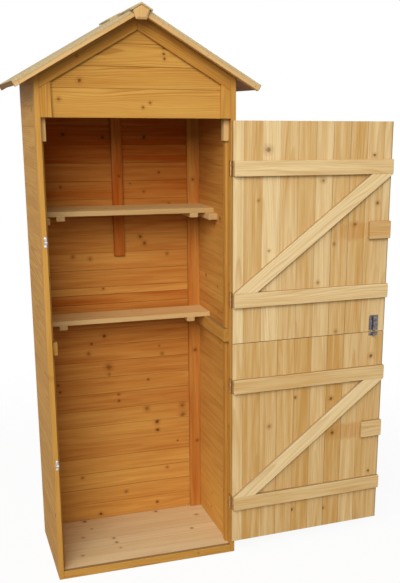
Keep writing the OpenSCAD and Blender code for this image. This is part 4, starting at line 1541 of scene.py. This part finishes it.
@dataclass
class Nails:
    """Round nail heads, set flush but for a low dome, wherever boards are nailed to the timbers behind."""

    finishes: Finishes
    hinges: dict[str, Hinge]
    head: float = 1.7
    rise: float = 0.5
    board: float = 61.6
    roof_pitch: float = 30.0

    def row(self, points: Sequence[Sequence[float]], normal: np.ndarray) -> list[Shell]:
        """Heads at the given points, standing along a normal."""
        side = Y if abs(normal[1]) < 0.5 else X
        turn = np.stack([side, np.cross(normal, side), normal], -1)
        one = dome((0, 0, 0), self.head, self.rise, 8)
        return [one.placed(turn, p) for p in points]

    def walls(self) -> None:
        """A nail in every wall board at each upright behind it."""
        rows: list[Shell] = []
        lo = np.array(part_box("left_wall_lower")[0]) / MM
        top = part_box("back_wall_upper")[1][2] / MM
        heights = np.arange(15.0, top - 20, self.board)
        back_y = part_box("back_wall_lower")[1][1] / MM
        for side in (-1, 1):
            x = side * -lo[0]
            rows += self.row([(x, y, z) for z in heights for y in (lo[1] + 10, back_y - 26)], side * X)
        rows += self.row([(x, back_y, z) for z in heights for x in (-270, 0, 270)], Y)
        Bundle().add(*rows).put("wall_nails", self.finishes.nail, "shed", smooth=35)

    def doors(self) -> None:
        """Two nails through every door board into each ledge."""
        for door, hinge in self.hinges.items():
            z0, z1 = (c[2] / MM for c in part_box(door + "_ledges"))
            lines = Door.lines
            edge, front = hinge.at[0] - 2.5, hinge.at[1] + 3.5
            spots = [(edge - (a + b) / 2 + lean, front, z) for a, b in zip(lines[:-1], lines[1:])
                     for z, lean in ((z0 + 14, -6), (z0 + 35, 6), (z1 - 35, -6), (z1 - 14, 6))]
            shells = [hinge.open(s) for s in self.row(spots, -Y)]
            Bundle().add(*shells).put(door + "_nails", self.finishes.nail, door, smooth=35)

    def roof(self) -> None:
        """Pairs of nails along the bargeboards."""
        lo, hi = (np.array(c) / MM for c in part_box("bargeboards"))
        slope, rows = math.radians(self.roof_pitch), []
        sin, cos = math.sin(slope), math.cos(slope)
        length = hi[0] / cos
        for y, face in ((lo[1], -Y), (hi[1], Y)):
            spots = [(side * (u * cos - d * sin), y, hi[2] - u * sin - d * cos)
                     for side in (-1, 1) for u in (80, 240, length - 16) for d in (6, 12)]
            rows += self.row(spots, face)
        Bundle().add(*rows).put("bargeboard_nails", self.finishes.nail, "shed", smooth=35)

    def build(self) -> None:
        """Builds all the nail heads."""
        self.walls()
        self.doors()
        self.roof()


# ------------------------------------------------------------------ studio


def seen_plainly(tree: bpy.types.NodeTree) -> bpy.types.NodeSocket:
    """One for camera, mirror and glass rays, nought for all other light."""
    path = add(tree, "LightPath").node
    seen = add(tree, "Math", [path.outputs["Is Camera Ray"], path.outputs["Is Glossy Ray"]],
               operation="MAXIMUM")
    return add(tree, "Math", [seen, path.outputs["Is Transmission Ray"]], operation="MAXIMUM")


@dataclass
class Studio:
    """Floor, sky, lamps and camera. Lengths are metres here, the lens and its sensor millimetres."""

    sky_level: float = 0.31
    lamp_white: str = "#fffaf2"
    sensor: float = 36.0
    lens: float = 54.12
    shift: tuple[float, float] = (-0.0815, 0.1044)
    stand: tuple[float, float, float] = (-0.6289, -2.8863, 1.5064)
    rightward: tuple[float, float, float] = (0.9401, -0.34081, 0.00749)
    forward: tuple[float, float, float] = (0.33096, 0.90724, -0.25958)

    def floor(self) -> None:
        """A pale floor disc: camera and mirror rays see it near white, other light bounces off a mid grey."""
        bpy.ops.mesh.primitive_circle_add(vertices=96, radius=6.0, fill_type="NGON", location=(0, 0, -0.0005))
        disc = bpy.context.object
        disc.name = "studio_floor"
        material, t = blank("painted_studio_floor")
        seen = seen_plainly(t)
        colour = add(t, "Mix", {0: seen, 6: (0.30, 0.29, 0.28, 1), 7: (0.93, 0.93, 0.93, 1)}, 2,
                     data_type="RGBA")
        paint = add(t, "BsdfDiffuse", {"Color": colour})
        glow = add(t, "Emission", {"Color": (1, 1, 1, 1), "Strength": 1.0})
        lit = add(t, "Math", [seen, 0.92], operation="MULTIPLY")
        paint = add(t, "MixShader", [lit, paint, glow])
        place = add(t, "TexCoord", out="Object")
        reach = add(t, "VectorMath", [place], operation="LENGTH", out="Value")
        fade = add(t, "MapRange", [reach, 1.0, 2.6, 0, 1], interpolation_type="SMOOTHSTEP")
        clear = add(t, "BsdfTransparent")
        mixed = add(t, "MixShader", [fade, paint, clear])
        add(t, "OutputMaterial", {"Surface": mixed})
        disc.data.materials.append(material)

    def sky(self, strength: float) -> None:
        """A white surround to the camera and to mirrors; a plain soft light to everything else."""
        world = bpy.data.worlds.new("studio_sky")
        bpy.context.scene.world = world
        world.use_nodes = True
        t = world.node_tree
        t.nodes.clear()
        seen = seen_plainly(t)
        level = add(t, "MapRange", [seen, 0, 1, strength, 1.0])
        light = add(t, "Background", {"Color": (1, 1, 1, 1), "Strength": level})
        add(t, "OutputWorld", {"Surface": light})

    def lamp(self, name: str, at: tuple, aim: tuple, size: float, level: float,
             colour: str = "#ffffff") -> None:
        """An area lamp whose light on a surface that faces it is worth the given level.

        A square lamp of power P lights a surface at distance d to P / (pi d)^2 times its colour.
        """
        data = bpy.data.lights.new(name, "AREA")
        data.shape, data.size = "SQUARE", size
        gap = Vector(aim) - Vector(at)
        data.energy = level * (math.pi * gap.length) ** 2
        data.color = linear(colour)[:3]
        lamp = bpy.data.objects.new(name, data)
        lamp.location = at
        lamp.rotation_euler = gap.to_track_quat("-Z", "Y").to_euler()
        bpy.context.scene.collection.objects.link(lamp)

    def camera(self) -> None:
        """The camera at the viewing angle, with the shift that the framing needs."""
        data = bpy.data.cameras.new("view")
        data.sensor_fit, data.sensor_width = "AUTO", self.sensor
        data.lens = self.lens
        data.shift_x, data.shift_y = self.shift
        right, forward = Vector(self.rightward), Vector(self.forward)
        up = right.cross(forward)
        matrix = Matrix((right, up, -forward)).transposed().to_4x4()
        matrix.translation = Vector(self.stand)
        camera = bpy.data.objects.new("view", data)
        camera.matrix_world = matrix
        bpy.context.scene.collection.objects.link(camera)
        bpy.context.scene.camera = camera

    def build(self) -> None:
        """Sets the stage."""
        self.floor()
        self.sky(self.sky_level)
        self.lamp("key", (-3.1, -7.3, 5.1), (0, 0, 0.9), 5.0, 0.85, self.lamp_white)
        self.lamp("fill", (-5.2, -3.4, 6.2), (0, 0, 0.8), 3.5, 0.25, self.lamp_white)
        self.camera()
        view = bpy.context.scene.view_settings
        view.view_transform = "Standard"


def main() -> None:
    """Builds the stage and every sub-assembly."""
    Studio().build()
    finishes = Finishes()
    Walls(finishes).build()
    Floor(finishes).build()
    Battens(finishes).build()
    Shelves(finishes).build()
    Gable(finishes).build()
    Roof(finishes).build()
    upper_knots = (
        Knot(1405, 120, 9), Knot(1080, 127, 4), Knot(962, 310, 5), Knot(1092, 368, 5), Knot(785, 385, 5),
        Knot(1385, 510, 5), Knot(1305, 320, 6), Knot(1245, 88, 4), Knot(1225, 530, 6), Knot(1155, 445, 6),
    )
    lower_knots = (
        Knot(683, 530, 7), Knot(465, 137, 6), Knot(135, 230, 6), Knot(120, 355, 6), Knot(240, 540, 5),
        Knot(540, 375, 6), Knot(410, 385, 7), Knot(560, 235, 5),
    )
    hinges = {leaf.value: Hinge.read(leaf.value + "_hinge") for leaf in Leaf}
    Door(finishes, Leaf.UPPER.value, hinges[Leaf.UPPER.value],
         (-0.7, 0.35, -0.8, -0.1, 0.25, -0.35, 0.3, 0.45, 0.0, -0.4), upper_knots, 101).build()
    Door(finishes, Leaf.LOWER.value, hinges[Leaf.LOWER.value],
         (-0.15, 0.6, 0.15, 0.35, 0.75, 0.0, 0.85, 0.0, 0.4, 0.3), lower_knots, 102,
         ledge_tones=(0.0, 0.05)).build()
    Ironwork(finishes, hinges).build()
    Nails(finishes, hinges).build()


if __name__ == "__main__":
    main()
